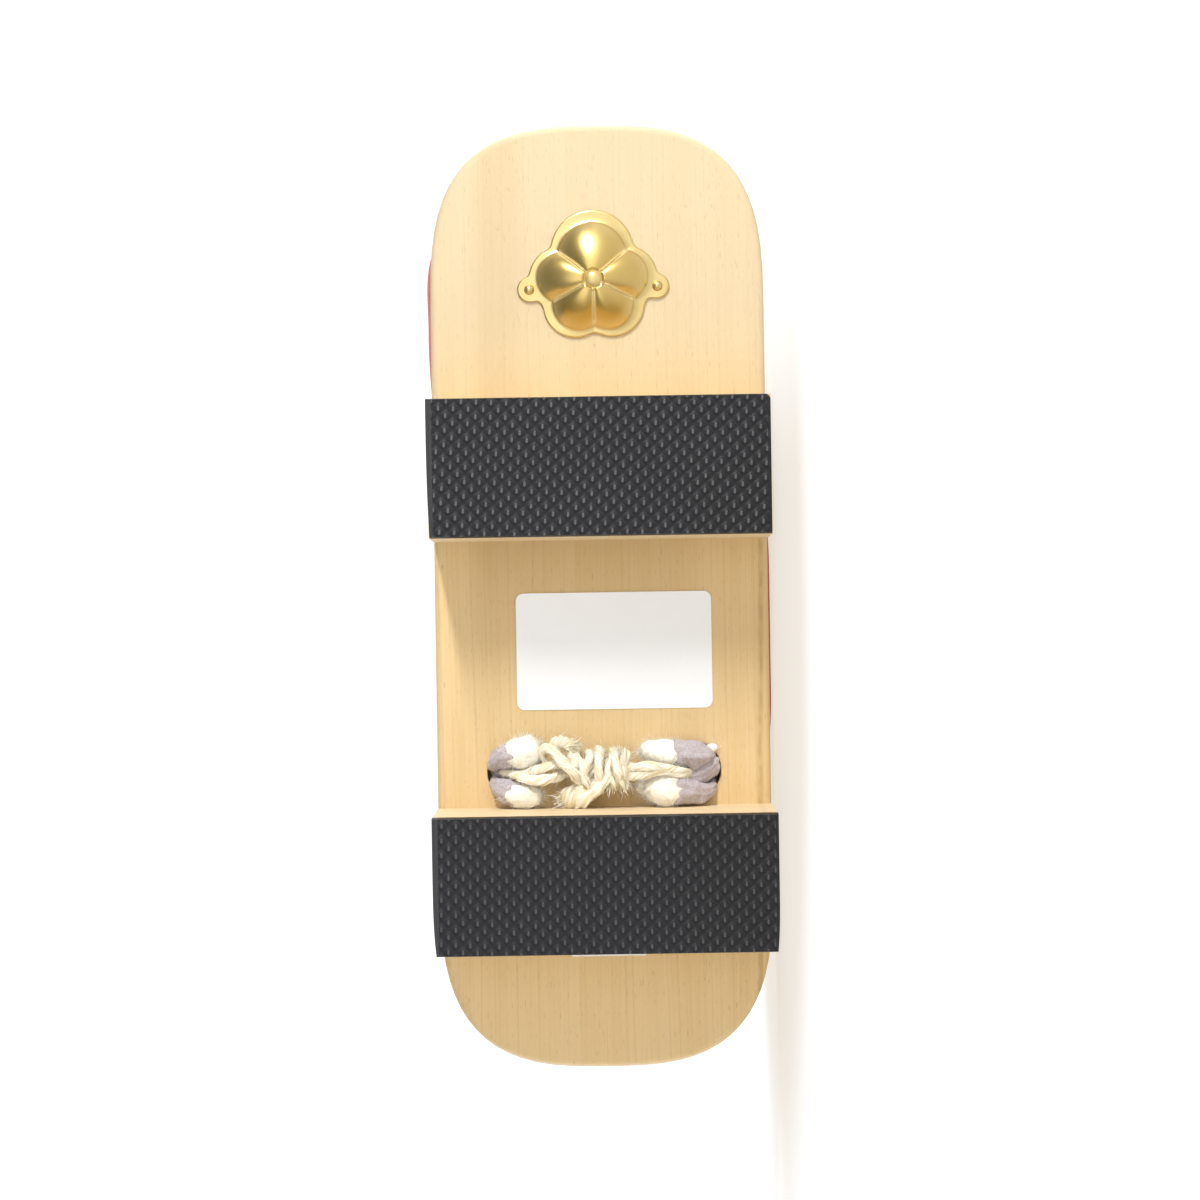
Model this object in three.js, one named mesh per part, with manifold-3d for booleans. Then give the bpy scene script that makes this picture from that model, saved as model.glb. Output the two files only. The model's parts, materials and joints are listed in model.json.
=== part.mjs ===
// A geta: a wooden sandal base with two rubber-shod teeth and a padded thong strap, lying on its side.
// Every piece is modelled in the standing shoe's own frame: x to the toe, y to its left, z up.
// The last section lays the whole shoe on its left side, on the edges of its treads and on its strap.
// Sizes are in millimetres and angles in degrees.
import * as THREE from "three";
import { mergeVertices } from "three/addons/utils/BufferGeometryUtils.js";
import Module from "manifold-3d";

const wasm = await Module();
wasm.setup();

// Driving dimensions of the base. GAP is the clearance between pieces that touch.
const LENGTH = 240;
const WIDTH = 85;
const HEIGHT = 45;
const PLATE = 15;
const TREAD = 4.5;
const GAP = 0.3;
const UNDERSIDE = HEIGHT - PLATE;

// The outline has straight sides between these stations, and superelliptic ends beyond them.
const TOE_START = 73;
const HEEL_START = -72;
const END_POWER = 3;
const END_STEPS = 16;
const BLUNT_TIP = 0.02;

// Edge rounding of the plate, from its underside to its foot surface: the height in the plate, and how far
// the outline is set in there.
const PLATE_EDGE = [
  { rise: 0, inset: 1.9 },
  { rise: 0.45, inset: 0.85 },
  { rise: 1.3, inset: 0.2 },
  { rise: 2.4, inset: 0 },
  { rise: PLATE - 3, inset: 0 },
  { rise: PLATE - 1.3, inset: 0.45 },
  { rise: PLATE - 0.4, inset: 1.4 },
  { rise: PLATE, inset: 3 },
];

// The front and rear teeth: where their faces are at the tread, and how far those slope out over the height.
const TEETH = [
  { front: 49.2, back: 14.8, slope: 0.7 },
  { front: -54.1, back: -88.3, slope: 0.9 },
];
const TOOTH_ROOT = 5;
const TOOTH_SIDE = [
  { rise: TREAD + GAP, inset: 0 },
  { rise: UNDERSIDE + TOOTH_ROOT, inset: 0 },
];

// Edge rounding of a tread, from its worn face up. A tread stands a little proud of its tooth.
const TREAD_PROUD = 0.2;
const TREAD_BEVEL = 0.4;
const TREAD_EDGE = [
  { rise: 0, inset: 0.8 },
  { rise: 1, inset: 0 },
  { rise: TREAD, inset: 0 },
];

// Holes through the plate for the toe loop and the two strap ends, oval below and round above.
const HOLE_SIDES = 28;
const TOE_HOLE = { along: 81, out: 0, halfLength: 5.5, halfWidth: 5.5, topRadius: 5.5 };
const REAR_HOLE = { along: -44.4, out: 23, halfLength: 7.2, halfWidth: 6.8, topRadius: 6.8 };

// The strap, in two arms from the crown to their ends in the rear holes. A row gives the middle of a section
// (along the shoe, out from its centre line, up from the foot surface), its two sizes, and how far its outer
// edge dips.
const STRAP_END = [
  { along: -44.6, out: 23, up: -0.6, wide: 10, thick: 8.6, dip: 0 },
  { along: -44.4, out: 23, up: -7, wide: 10, thick: 9.5, dip: 0 },
  { along: -44.4, out: 23, up: 0.6 - PLATE, wide: 9.6, thick: 9.6, dip: 0 },
];
const LEFT_ARM = [
  { along: 79, out: 14, up: 23.5, wide: 17.5, thick: 9, dip: 15 },
  { along: 63, out: 26.5, up: 20.5, wide: 19.5, thick: 9.5, dip: 25 },
  { along: 40, out: 33.4, up: 15, wide: 20.5, thick: 9.5, dip: 36 },
  { along: 14, out: 35.9, up: 11.5, wide: 20.5, thick: 9.5, dip: 40 },
  { along: -14, out: 36.2, up: 10.5, wide: 20, thick: 9.5, dip: 40 },
  { along: -37, out: 35.8, up: 10, wide: 18.5, thick: 9.5, dip: 36 },
  { along: -52.5, out: 32.5, up: 9.6, wide: 15, thick: 9.5, dip: 24 },
  { along: -49, out: 25.4, up: 8.4, wide: 12, thick: 8.4, dip: 8 },
  ...STRAP_END,
];
const CROWN = [{ along: 84, out: 0, up: 23, wide: 16, thick: 9, dip: 15 }];
const RIGHT_ARM = [
  { along: 90, out: 13, up: 21.5, wide: 17.5, thick: 9, dip: 12 },
  { along: 94, out: 27, up: 16.5, wide: 19, thick: 9.5, dip: 26 },
  { along: 88, out: 36.8, up: 12.2, wide: 20.5, thick: 9.5, dip: 36 },
  { along: 70, out: 38.5, up: 10.8, wide: 20.5, thick: 9.5, dip: 40 },
  { along: 42, out: 37, up: 11, wide: 20.5, thick: 9.5, dip: 40 },
  { along: 4, out: 32.6, up: 11.2, wide: 20, thick: 9.5, dip: 38 },
  { along: -26, out: 31.4, up: 10.6, wide: 18, thick: 9.5, dip: 34 },
  { along: -46, out: 28.4, up: 9.2, wide: 15, thick: 9.5, dip: 20 },
  { along: -48.4, out: 24.8, up: 8, wide: 12, thick: 8.4, dip: 6 },
  ...STRAP_END,
];
const STRAP_SIDES = 14;
const STRAP_STEPS = 3;

// The toe loop: a post up through the toe hole, and the collar that it makes round the strap at the crown.
const TOE_POST = [
  { along: 81, out: 0, up: 0.6 - PLATE, wide: 7.5, thick: 6.5, dip: 0 },
  { along: 81.2, out: 0, up: -4, wide: 7.5, thick: 6.5, dip: 0 },
  { along: 82.2, out: 0, up: 8, wide: 8.5, thick: 6, dip: 0 },
  { along: 84, out: 0, up: 21, wide: 9.5, thick: 6, dip: 0 },
];
const COLLAR = [
  { along: 84, out: 6, up: 23, wide: 15, thick: 8, dip: 15 },
  { along: 84, out: 5, up: 23, wide: 19, thick: 11.8, dip: 15 },
  { along: 84, out: 0, up: 23, wide: 20, thick: 12.6, dip: 15 },
  { along: 84, out: -5, up: 23, wide: 19, thick: 11.8, dip: 15 },
  { along: 84, out: -6, up: 23, wide: 15, thick: 8, dip: 15 },
];

// Each strap end is split in two lobes, folded towards the centre line under the plate. A row gives a lobe's
// middle (away from the hole's cross line, in from the hole's middle as a share of the reach, down from the
// plate) and its girth.
const LOBE_REACH = { left: 13.4, right: 7.6 };
const LOBE = [
  { apart: 1.6, share: -0.2, down: -5, girth: 5 },
  { apart: 2.4, share: -0.15, down: -1, girth: 6 },
  { apart: 4.1, share: 0.2, down: 3.9, girth: 7 },
  { apart: 4.3, share: 0.65, down: 4.2, girth: 7.4 },
  { apart: 4.2, share: 0.94, down: 4.1, girth: 6 },
  { apart: 4.1, share: 1, down: 4, girth: 3 },
];
const LOBE_SIDES = 10;

// The hemp tie under the plate: a bar wrapped round itself, two cords to the strap ends, and two loose ends.
const CORD = { girth: 3.4, sides: 8, steps: 3 };
const TIE_BAR = { along: -43.6, down: 5, left: 7.4, right: -13.6, core: 3.5, bulge: 1.1 };
const TIE_STEPS = { turns: 6, perTurn: 4, around: 14 };
const TIE_CORDS = {
  left: [
    { along: -43.6, out: 4, down: 5 },
    { along: -43.8, out: 9, down: 7.2 },
    { along: -44.4, out: 14, down: 8.4 },
    { along: -44.4, out: 19, down: 8.2 },
    { along: -44.4, out: 23.5, down: 6.6 },
  ],
  right: [
    { along: -43.6, out: -10, down: 5 },
    { along: -44, out: -14, down: 7.4 },
    { along: -44.4, out: -18, down: 8.4 },
    { along: -44.4, out: -24, down: 6.6 },
  ],
  upperEnd: [
    { along: -42.6, out: -8, down: 6 },
    { along: -38.6, out: -11, down: 7.2 },
    { along: -37.4, out: -12.6, down: 5 },
    { along: -36.8, out: -9.4, down: 3.2 },
  ],
  lowerEnd: [
    { along: -45, out: 3.6, down: 6 },
    { along: -48.4, out: 0.6, down: 6.6 },
    { along: -50.4, out: -4, down: 4.6 },
    { along: -50.6, out: -8.6, down: 3.2 },
  ],
};

// The brass cover: a button and five domed petals in a flat flange with two ears, all of one sheet. It is
// nailed on a little to the right of the centre line and turned a little. A row of PETALS has the turn of a
// petal's middle from the toe, half its span and its reach. A row of COVER_RINGS is a ring at a share of the
// petals' outline, which it follows as far as its lobed value says.
const COVER = { along: 80.3, out: -0.9, turn: -0.9, sheet: 0.7, flange: 2.5, around: 72 };
const PETALS = [
  { turn: 0, half: 49, reach: 14.7 },
  { turn: 82.5, half: 33.5, reach: 14.1 },
  { turn: 148, half: 32, reach: 13.5 },
  { turn: 212, half: 32, reach: 13.5 },
  { turn: 277.5, half: 33.5, reach: 14.1 },
];
const PETAL_FORM = { valley: 11.3, fullness: 0.9, crease: 0.3, creaseWidth: 1.5 };
const COVER_RINGS = [
  { share: 0.07, rise: 5.1, lobed: 0 },
  { share: 0.13, rise: 4.6, lobed: 0 },
  { share: 0.16, rise: 3.4, lobed: 0 },
  { share: 0.3, rise: 4.2, lobed: 0.6 },
  { share: 0.5, rise: 5.2, lobed: 1 },
  { share: 0.66, rise: 5.4, lobed: 1 },
  { share: 0.82, rise: 4.7, lobed: 1 },
  { share: 0.93, rise: 3.1, lobed: 1 },
  { share: 1, rise: 0, lobed: 1 },
];
const EAR = { out: 16.3, back: 1.9, radius: 3.1, sides: 24 };
const NAIL = { shank: 0.6, head: 1.3, dome: 0.9, depth: 7, sides: 12 };

// The blank paper label.
const LABEL = { along: -13.9, out: 3, length: 29.7, width: 49.7, corner: 2, sheet: 0.2 };

const finish = (color, roughness, metalness = 0) =>
  new THREE.MeshStandardMaterial({ color, roughness, metalness });
const PAULOWNIA = finish(0xe3c690, 0.6);
const RUBBER = finish(0x3c3d41, 0.7);
const RED_CLOTH = finish(0xb8453f, 0.9);
const HEMP = finish(0xe6d9b4, 0.95);
const BRASS = finish(0xd2a74c, 0.25, 1);
const PAPER = finish(0xf4f4f1, 0.7);

const { degToRad, lerp } = THREE.MathUtils;
const point = (x, y, z) => new THREE.Vector3(x, y, z);

// A closed geometry as a solid, with its shared vertices merged.
function solid(geometry) {
  const bare = new THREE.BufferGeometry();
  bare.setAttribute("position", geometry.getAttribute("position"));
  bare.setIndex(geometry.index);
  const merged = mergeVertices(bare, 1e-4);
  const vertProperties = new Float32Array(merged.getAttribute("position").array);
  const triVerts = new Uint32Array(merged.index.array);
  return new wasm.Manifold(new wasm.Mesh({ numProp: 3, vertProperties, triVerts }));
}

// A solid as a named mesh.
function piece(name, body, material) {
  const made = body.getMesh();
  const geometry = new THREE.BufferGeometry();
  geometry.setAttribute("position", new THREE.BufferAttribute(new Float32Array(made.vertProperties), 3));
  geometry.setIndex(new THREE.BufferAttribute(new Uint32Array(made.triVerts), 1));
  geometry.computeVertexNormals();
  const mesh = new THREE.Mesh(geometry, material);
  mesh.name = name;
  return mesh;
}

const joined = (bodies) => bodies.reduce((whole, body) => whole.add(body));
const without = (body, cuts) => cuts.reduce((rest, cut) => rest.subtract(cut), body);

// A closed skin over corners and faces, turned right side out.
function skin(corners, faces) {
  const geometry = new THREE.BufferGeometry();
  geometry.setAttribute("position", new THREE.Float32BufferAttribute(corners.flatMap((p) => p.toArray()), 3));
  geometry.setIndex(faces);
  const made = solid(geometry);
  return made.volume() > 0 ? made : solid(geometry.setIndex(faces.toReversed()));
}

// The faces between rings of equal length whose corners follow each other in one list.
function ringFaces(rings, count) {
  const faces = [];
  for (let r = 0; r + 1 < rings; r++) {
    for (let i = 0; i < count; i++) {
      const a = r * count + i;
      const b = r * count + ((i + 1) % count);
      faces.push(a, b, b + count, a, b + count, a + count);
    }
  }
  return faces;
}

// A tube through rings, closed at each end by a fan to that ring's middle.
function tube(rings) {
  const count = rings[0].length;
  const last = (rings.length - 1) * count;
  const corners = rings.flat();
  const faces = ringFaces(rings.length, count);
  const middles = [rings[0], rings.at(-1)].map((ring) =>
    ring.reduce((sum, corner) => sum.add(corner), point(0, 0, 0)).divideScalar(count),
  );
  for (let i = 0; i < count; i++) {
    const next = (i + 1) % count;
    faces.push(corners.length, next, i);
    faces.push(corners.length + 1, last + i, last + next);
  }
  return skin([...corners, ...middles], faces);
}

// The base's outline, shrunk by an inset: out along the right side from heel to toe, and back along the left.
function outline(inset) {
  const half = WIDTH / 2 - inset;
  const tip = LENGTH / 2 - inset;
  const bend = 2 / END_POWER;
  const end = (start, reach, share) => {
    const turn = (Math.PI / 2) * share;
    const out = half * Math.max(BLUNT_TIP, Math.cos(turn)) ** bend;
    return { along: start + (reach - start) * Math.sin(turn) ** bend, out };
  };
  const shares = Array.from({ length: END_STEPS + 1 }, (_, i) => i / END_STEPS);
  const heel = shares.map((share) => end(HEEL_START, -tip, share)).toReversed();
  const side = [...heel, ...shares.map((share) => end(TOE_START, tip, share))];
  const left = side.map((p) => ({ along: p.along, out: p.out })).toReversed();
  return [...side.map((p) => ({ along: p.along, out: -p.out })), ...left];
}

// A slab with the base's outline, grown all round. Its rows give each level's height and inset.
function outlineSlab(rows, foot, grow = 0) {
  const rings = rows.map((row) =>
    outline(row.inset - grow).map((p) => point(p.along, p.out, foot + row.rise)),
  );
  const count = rings[0].length;
  const last = (rings.length - 1) * count;
  const faces = ringFaces(rings.length, count);
  for (let i = 0; i + 1 < count / 2; i++) {
    const [a, b, c, d] = [i, i + 1, count - 2 - i, count - 1 - i];
    faces.push(a, d, c, a, c, b);
    faces.push(last + a, last + c, last + d, last + a, last + b, last + c);
  }
  return skin(rings.flat(), faces);
}

// A prism right across the shoe, from a profile of [along, height] corners.
function crossBar(profile) {
  const shape = new THREE.Shape(profile.map(([along, height]) => new THREE.Vector2(along, height)));
  const bar = new THREE.ExtrudeGeometry(shape, { depth: 2 * WIDTH, bevelEnabled: false });
  return solid(bar.rotateX(Math.PI / 2).translate(0, WIDTH, 0));
}

// An upright round bar, for ears and drilled holes.
function uprightBar(along, out, low, high, radius, sides) {
  const bar = new THREE.CylinderGeometry(radius, radius, high - low, sides).rotateX(Math.PI / 2);
  return solid(bar.translate(along, out, (low + high) / 2));
}

// A tapered cut through the plate, past both its faces.
function plateHole(hole, side) {
  const ring = (height, halfLength, halfWidth) =>
    Array.from({ length: HOLE_SIDES }, (_, i) => {
      const turn = (2 * Math.PI * i) / HOLE_SIDES;
      const out = side * hole.out + halfWidth * Math.sin(turn);
      return point(hole.along + halfLength * Math.cos(turn), out, height);
    });
  return tube([
    ring(UNDERSIDE - 1, hole.halfLength, hole.halfWidth),
    ring(UNDERSIDE, hole.halfLength, hole.halfWidth),
    ring(HEIGHT, hole.topRadius, hole.topRadius),
    ring(HEIGHT + 1, hole.topRadius, hole.topRadius),
  ]);
}

// An oval section carried along rows of sizes. Its wide side lies along wideWay at the row called from, turns
// no more than the path does on both sides of that row, and is then turned by each row's dip.
function ovalSweep(rows, place, wideWay, sides, stepsPerRow, from = 0) {
  const path = new THREE.CatmullRomCurve3(rows.map(place));
  const steps = (rows.length - 1) * stepsPerRow;
  const ahead = Array.from({ length: steps + 1 }, (_, step) => path.getTangent(step / steps));
  const square = (way, step) => way.clone().addScaledVector(ahead[step], -way.dot(ahead[step])).normalize();
  const start = from * stepsPerRow;
  const wideWays = [];
  wideWays[start] = square(wideWay, start);
  for (let step = start + 1; step <= steps; step++) wideWays[step] = square(wideWays[step - 1], step);
  for (let step = start - 1; step >= 0; step--) wideWays[step] = square(wideWays[step + 1], step);
  const rings = wideWays.map((way, step) => {
    const at = step / stepsPerRow;
    const row = Math.min(Math.floor(at), rows.length - 2);
    const size = (name) => lerp(rows[row][name], rows[row + 1][name], at - row);
    const [wide, thick, dip] = [size("wide") / 2, size("thick") / 2, degToRad(size("dip"))];
    const middle = path.getPoint(step / steps);
    const upWay = ahead[step].clone().cross(way);
    return Array.from({ length: sides }, (_, i) => {
      const turn = (2 * Math.PI * i) / sides;
      const acrossWide = wide * Math.cos(turn) * Math.cos(dip) + thick * Math.sin(turn) * Math.sin(dip);
      const acrossUp = thick * Math.sin(turn) * Math.cos(dip) - wide * Math.cos(turn) * Math.sin(dip);
      return middle.clone().addScaledVector(way, acrossWide).addScaledVector(upWay, acrossUp);
    });
  });
  return tube(rings);
}

const overFoot = (row) => point(row.along, row.out, HEIGHT + row.up);
const underPlate = (row) => point(row.along, row.out, UNDERSIDE - row.down);
const roundRows = (rows, girth) => rows.map((row) => ({ ...row, wide: girth, thick: girth, dip: 0 }));

// A place on the turned cover, from its middle to the toe and to the left, in the shoe's own frame.
function onCover(ahead, aside) {
  const turn = degToRad(COVER.turn);
  return {
    along: COVER.along + ahead * Math.cos(turn) - aside * Math.sin(turn),
    out: COVER.out + ahead * Math.sin(turn) + aside * Math.cos(turn),
  };
}

// A round bar through an ear of the cover.
function earBar(side, low, high, radius, sides) {
  const { along, out } = onCover(-EAR.back, side * EAR.out);
  return uprightBar(along, out, low, high, radius, sides);
}
const nailHole = (side, low, high) => earBar(side, low, high, NAIL.shank + GAP, NAIL.sides);

// The base: the plate and both teeth as one block of wood, drilled for the strap and the nails.
function makeDai() {
  const block = outlineSlab(TOOTH_SIDE, 0);
  const teeth = TEETH.map(({ front, back, slope }) =>
    block.intersect(
      crossBar([
        [back, 0],
        [front, 0],
        [front + slope, HEIGHT],
        [back - slope, HEIGHT],
      ]),
    ),
  );
  const plate = outlineSlab(PLATE_EDGE, UNDERSIDE);
  const nailHoles = [1, -1].map((side) => nailHole(side, UNDERSIDE - 1, UNDERSIDE + NAIL.depth + GAP));
  const strapHoles = [plateHole(TOE_HOLE, 1), plateHole(REAR_HOLE, 1), plateHole(REAR_HOLE, -1)];
  return without(joined([plate, ...teeth]), [...strapHoles, ...nailHoles]);
}

// A tread: a slab of rubber under one tooth, with bevelled edges.
function makeTread({ front, back }) {
  const slab = outlineSlab(TREAD_EDGE, 0, TREAD_PROUD);
  return slab.intersect(
    crossBar([
      [back + TREAD_BEVEL, -1],
      [front - TREAD_BEVEL, -1],
      [front, TREAD / 2],
      [front, HEIGHT],
      [back, HEIGHT],
      [back, TREAD / 2],
    ]),
  );
}

// The strap with its toe loop and the four folded lobes of its ends.
function makeHanao() {
  const across = (rows, side) => rows.map((row) => ({ ...row, out: side * row.out }));
  const wholeStrap = [...across(LEFT_ARM, 1).toReversed(), ...CROWN, ...across(RIGHT_ARM, -1)];
  const arms = ovalSweep(wholeStrap, overFoot, point(1, 0, 0), STRAP_SIDES, STRAP_STEPS, LEFT_ARM.length);
  const post = ovalSweep(TOE_POST, overFoot, point(0, 1, 0), STRAP_SIDES, 2);
  const collar = ovalSweep(COLLAR, overFoot, point(1, 0, 0), STRAP_SIDES, 1);
  const lobes = [];
  for (const [side, reach] of [[1, LOBE_REACH.left], [-1, LOBE_REACH.right]]) {
    for (const way of [1, -1]) {
      const rows = LOBE.map((row) => ({
        along: REAR_HOLE.along + way * row.apart,
        out: side * (REAR_HOLE.out - row.share * reach),
        down: row.down,
        wide: row.girth,
        thick: row.girth,
        dip: 0,
      }));
      lobes.push(ovalSweep(rows, underPlate, point(1, 0, 0), LOBE_SIDES, 2));
    }
  }
  return joined([arms, post, collar, ...lobes]);
}

// The tie: a turned bar with a bulge for each wrap, joined to its four cords.
function makeTie() {
  const { along, down, left, right, core, bulge } = TIE_BAR;
  const { turns, perTurn, around } = TIE_STEPS;
  const steps = turns * perTurn;
  const profile = Array.from({ length: steps + 1 }, (_, i) => {
    const swell = Math.abs(Math.sin((Math.PI * i) / perTurn));
    return new THREE.Vector2(core + bulge * swell, lerp(right, left, i / steps));
  });
  const closed = [new THREE.Vector2(0, right), ...profile, new THREE.Vector2(0, left)];
  const bar = new THREE.LatheGeometry(closed, around).translate(along, 0, UNDERSIDE - down);
  const cords = Object.values(TIE_CORDS).map((rows) =>
    ovalSweep(roundRows(rows, CORD.girth), underPlate, point(1, 0, 0), CORD.sides, CORD.steps),
  );
  return joined([solid(bar), ...cords]);
}

// The petal at a turn from the toe: how full it is there, 0 at a crease and 1 at its middle, and its reach.
function petalAt(turn) {
  const shares = PETALS.map(({ turn: middle, half, reach }) => {
    const apart = Math.abs(((turn - middle + 540) % 360) - 180);
    return { share: Math.min(1, apart / half), reach };
  });
  const { share, reach } = shares.reduce((best, other) => (other.share < best.share ? other : best));
  return { full: Math.cos((Math.PI / 2) * share), reach };
}

// The cover: a grid of rings for its outer face and the same grid, one sheet higher, for its inner face.
function makeCover() {
  const { sheet, flange, around } = COVER;
  const { valley, fullness, crease, creaseWidth } = PETAL_FORM;
  const seat = UNDERSIDE - GAP;
  const ring = ({ share, rise, lobed, rim = 0 }, lift) =>
    Array.from({ length: around }, (_, i) => {
      const turn = (360 * i) / around;
      const { full, reach } = petalAt(turn);
      const petalReach = lerp(valley, reach, full ** fullness);
      const radius = share * lerp(valley, petalReach, lobed) + rim;
      const height = rise * (1 - lobed * crease * (1 - full) ** creaseWidth);
      const { along, out } = onCover(radius * Math.cos(degToRad(turn)), radius * Math.sin(degToRad(turn)));
      return point(along, out, seat - sheet - height + lift);
    });
  const rows = [...COVER_RINGS, { share: 1, rise: 0, lobed: 1, rim: flange }];
  const outer = rows.map((row) => ring(row, 0));
  const inner = rows.map((row) => ring(row, sheet)).toReversed();
  const dish = tube([...outer, ...inner]);
  const ears = [1, -1].map((side) => earBar(side, seat - sheet, seat, EAR.radius, EAR.sides));
  const holes = [1, -1].map((side) => nailHole(side, seat - 2 * sheet, seat + sheet));
  return without(joined([dish, ...ears]), holes);
}

// A nail: a domed head under an ear, and a shank up into the wood.
function makeNail(side) {
  const headTop = UNDERSIDE - COVER.sheet - 2 * GAP;
  const profile = [
    [0, headTop - NAIL.dome],
    [0.6 * NAIL.head, headTop - 0.8 * NAIL.dome],
    [NAIL.head, headTop - 0.3 * NAIL.dome],
    [NAIL.head, headTop],
    [NAIL.shank, headTop],
    [NAIL.shank, UNDERSIDE + 0.8 * NAIL.depth],
    [0, UNDERSIDE + NAIL.depth],
  ];
  const corners = profile.map(([radius, height]) => new THREE.Vector2(radius, height));
  const nail = new THREE.LatheGeometry(corners, NAIL.sides).rotateX(Math.PI / 2);
  const { along, out } = onCover(-EAR.back, side * EAR.out);
  return solid(nail.translate(along, out, 0));
}

// The label: a thin sheet with rounded corners.
function makeLabel() {
  const { along, out, length, width, corner, sheet } = LABEL;
  const [x, y] = [length / 2 - corner, width / 2 - corner];
  const shape = new THREE.Shape();
  shape.absarc(x, y, corner, 0, Math.PI / 2);
  shape.absarc(-x, y, corner, Math.PI / 2, Math.PI);
  shape.absarc(-x, -y, corner, Math.PI, 1.5 * Math.PI);
  shape.absarc(x, -y, corner, 1.5 * Math.PI, 2 * Math.PI);
  const paper = new THREE.ExtrudeGeometry(shape, { depth: sheet, bevelEnabled: false, curveSegments: 5 });
  return solid(paper.translate(along, out, UNDERSIDE - GAP - sheet));
}

const [frontTooth, rearTooth] = TEETH;
const hanao = piece("hanao", makeHanao(), RED_CLOTH);
const shoe = new THREE.Group();
shoe.add(
  piece("dai", makeDai(), PAULOWNIA),
  piece("front_tread", makeTread(frontTooth), RUBBER),
  piece("rear_tread", makeTread(rearTooth), RUBBER),
  hanao,
  piece("rear_tie", makeTie(), HEMP),
  piece("maegane", makeCover(), BRASS),
  piece("maegane_nail_left", makeNail(1), BRASS),
  piece("maegane_nail_right", makeNail(-1), BRASS),
  piece("paper_label", makeLabel(), PAPER),
);

// The shoe lies on its left side. It leans until the strap and the treads' lower edges touch the same floor.
function leanOnStrap() {
  const edge = { out: WIDTH / 2 + TREAD_PROUD, height: TREAD_EDGE[1].rise };
  const corners = hanao.geometry.getAttribute("position");
  const leans = Array.from({ length: corners.count }, (_, i) =>
    Math.atan2(corners.getY(i) - edge.out, corners.getZ(i) - edge.height),
  );
  return Math.max(...leans.filter((lean) => lean < Math.PI / 4));
}
shoe.rotation.x = leanOnStrap() - Math.PI / 2;

// The origin is on the floor, under the middle of the laid shoe.
const laid = new THREE.Group().add(shoe);
const box = new THREE.Box3().setFromObject(laid, true);
const middle = box.getCenter(point(0, 0, 0));
shoe.position.set(-middle.x, -middle.y, -box.min.z);

export default laid;
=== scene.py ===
import json

import bpy
import numpy as np
from mathutils import Matrix, Vector


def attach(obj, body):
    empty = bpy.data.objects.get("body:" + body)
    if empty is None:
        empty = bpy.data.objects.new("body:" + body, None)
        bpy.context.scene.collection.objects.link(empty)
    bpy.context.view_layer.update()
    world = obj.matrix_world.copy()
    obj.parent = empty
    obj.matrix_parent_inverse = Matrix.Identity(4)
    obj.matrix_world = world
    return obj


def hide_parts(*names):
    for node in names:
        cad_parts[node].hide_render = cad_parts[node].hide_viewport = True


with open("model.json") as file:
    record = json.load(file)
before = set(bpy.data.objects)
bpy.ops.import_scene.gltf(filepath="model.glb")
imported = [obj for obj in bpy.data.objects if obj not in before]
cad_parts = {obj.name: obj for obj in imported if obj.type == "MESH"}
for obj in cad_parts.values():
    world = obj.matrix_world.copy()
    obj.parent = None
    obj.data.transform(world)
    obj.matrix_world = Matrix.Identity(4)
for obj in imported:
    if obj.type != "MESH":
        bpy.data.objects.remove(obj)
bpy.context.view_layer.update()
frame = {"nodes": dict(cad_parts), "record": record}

# The dai: the base of the geta with its two teeth, carved from one block of pale paulownia wood.
# The grain runs from heel to toe. Its edges are rounded and rubbed smooth, and the holes for the strap
# are drilled through it.
sole = next(mount for mount in frame["record"]["mounts"] if mount["name"] == "front_tread_face")
toe_way = np.array((1.0, 0.0, 0.0))
up_way = -np.array(sole["axis"])
left_way = np.cross(up_way, toe_way)
shoe_axes = np.stack((toe_way, left_way, up_way))
shoe_origin = np.array(sole["pos_m"]) * (0.0, 1.0, 1.0)
MM = 0.001
HEIGHT = 45.0
PLATE = 15.0
UNDERSIDE = HEIGHT - PLATE


def lay(points):
    """Shoe millimetres (to the toe, to the left, up from the treads) as metres in the frame: the origin
    plus each coordinate times its axis."""
    return shoe_origin + MM * np.asarray(points) @ shoe_axes


class Tone:
    """One value in a material. Its operators add Math nodes, and node() adds a node of any other type."""

    def __init__(self, tree, socket=None):
        self.tree = tree
        self.socket = socket

    def node(self, kind, sockets, settings=None, out=0):
        """A new node: its settings first, then its sockets' links or values. Its output out comes back."""
        made = self.tree.nodes.new(kind)
        for name, value in (settings or {}).items():
            setattr(made, name, value)
        for name, value in sockets.items():
            if isinstance(value, Tone):
                self.tree.links.new(value.socket, made.inputs[name])
            else:
                made.inputs[name].default_value = value
        return Tone(self.tree, made.outputs[out])

    def math(self, operation, first, second):
        return self.node("ShaderNodeMath", {0: first, 1: second}, {"operation": operation})

    def __add__(self, other):
        return self.math("ADD", self, other)

    def __sub__(self, other):
        return self.math("SUBTRACT", self, other)

    def __rsub__(self, other):
        return self.math("SUBTRACT", other, self)

    def __mul__(self, other):
        return self.math("MULTIPLY", self, other)

    def __pow__(self, other):
        return self.math("POWER", self, other)

    def __abs__(self):
        return self.math("ABSOLUTE", self, 0.0)

    __radd__ = __add__
    __rmul__ = __mul__


def new_finish(name, constants):
    """A material with one Principled shader, whose even values are set on its own sockets."""
    finish = bpy.data.materials.new(name)
    finish.use_nodes = True
    shader = finish.node_tree.nodes["Principled BSDF"]
    for socket, value in constants.items():
        shader.inputs[socket].default_value = value
    return finish, Tone(finish.node_tree)


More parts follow.
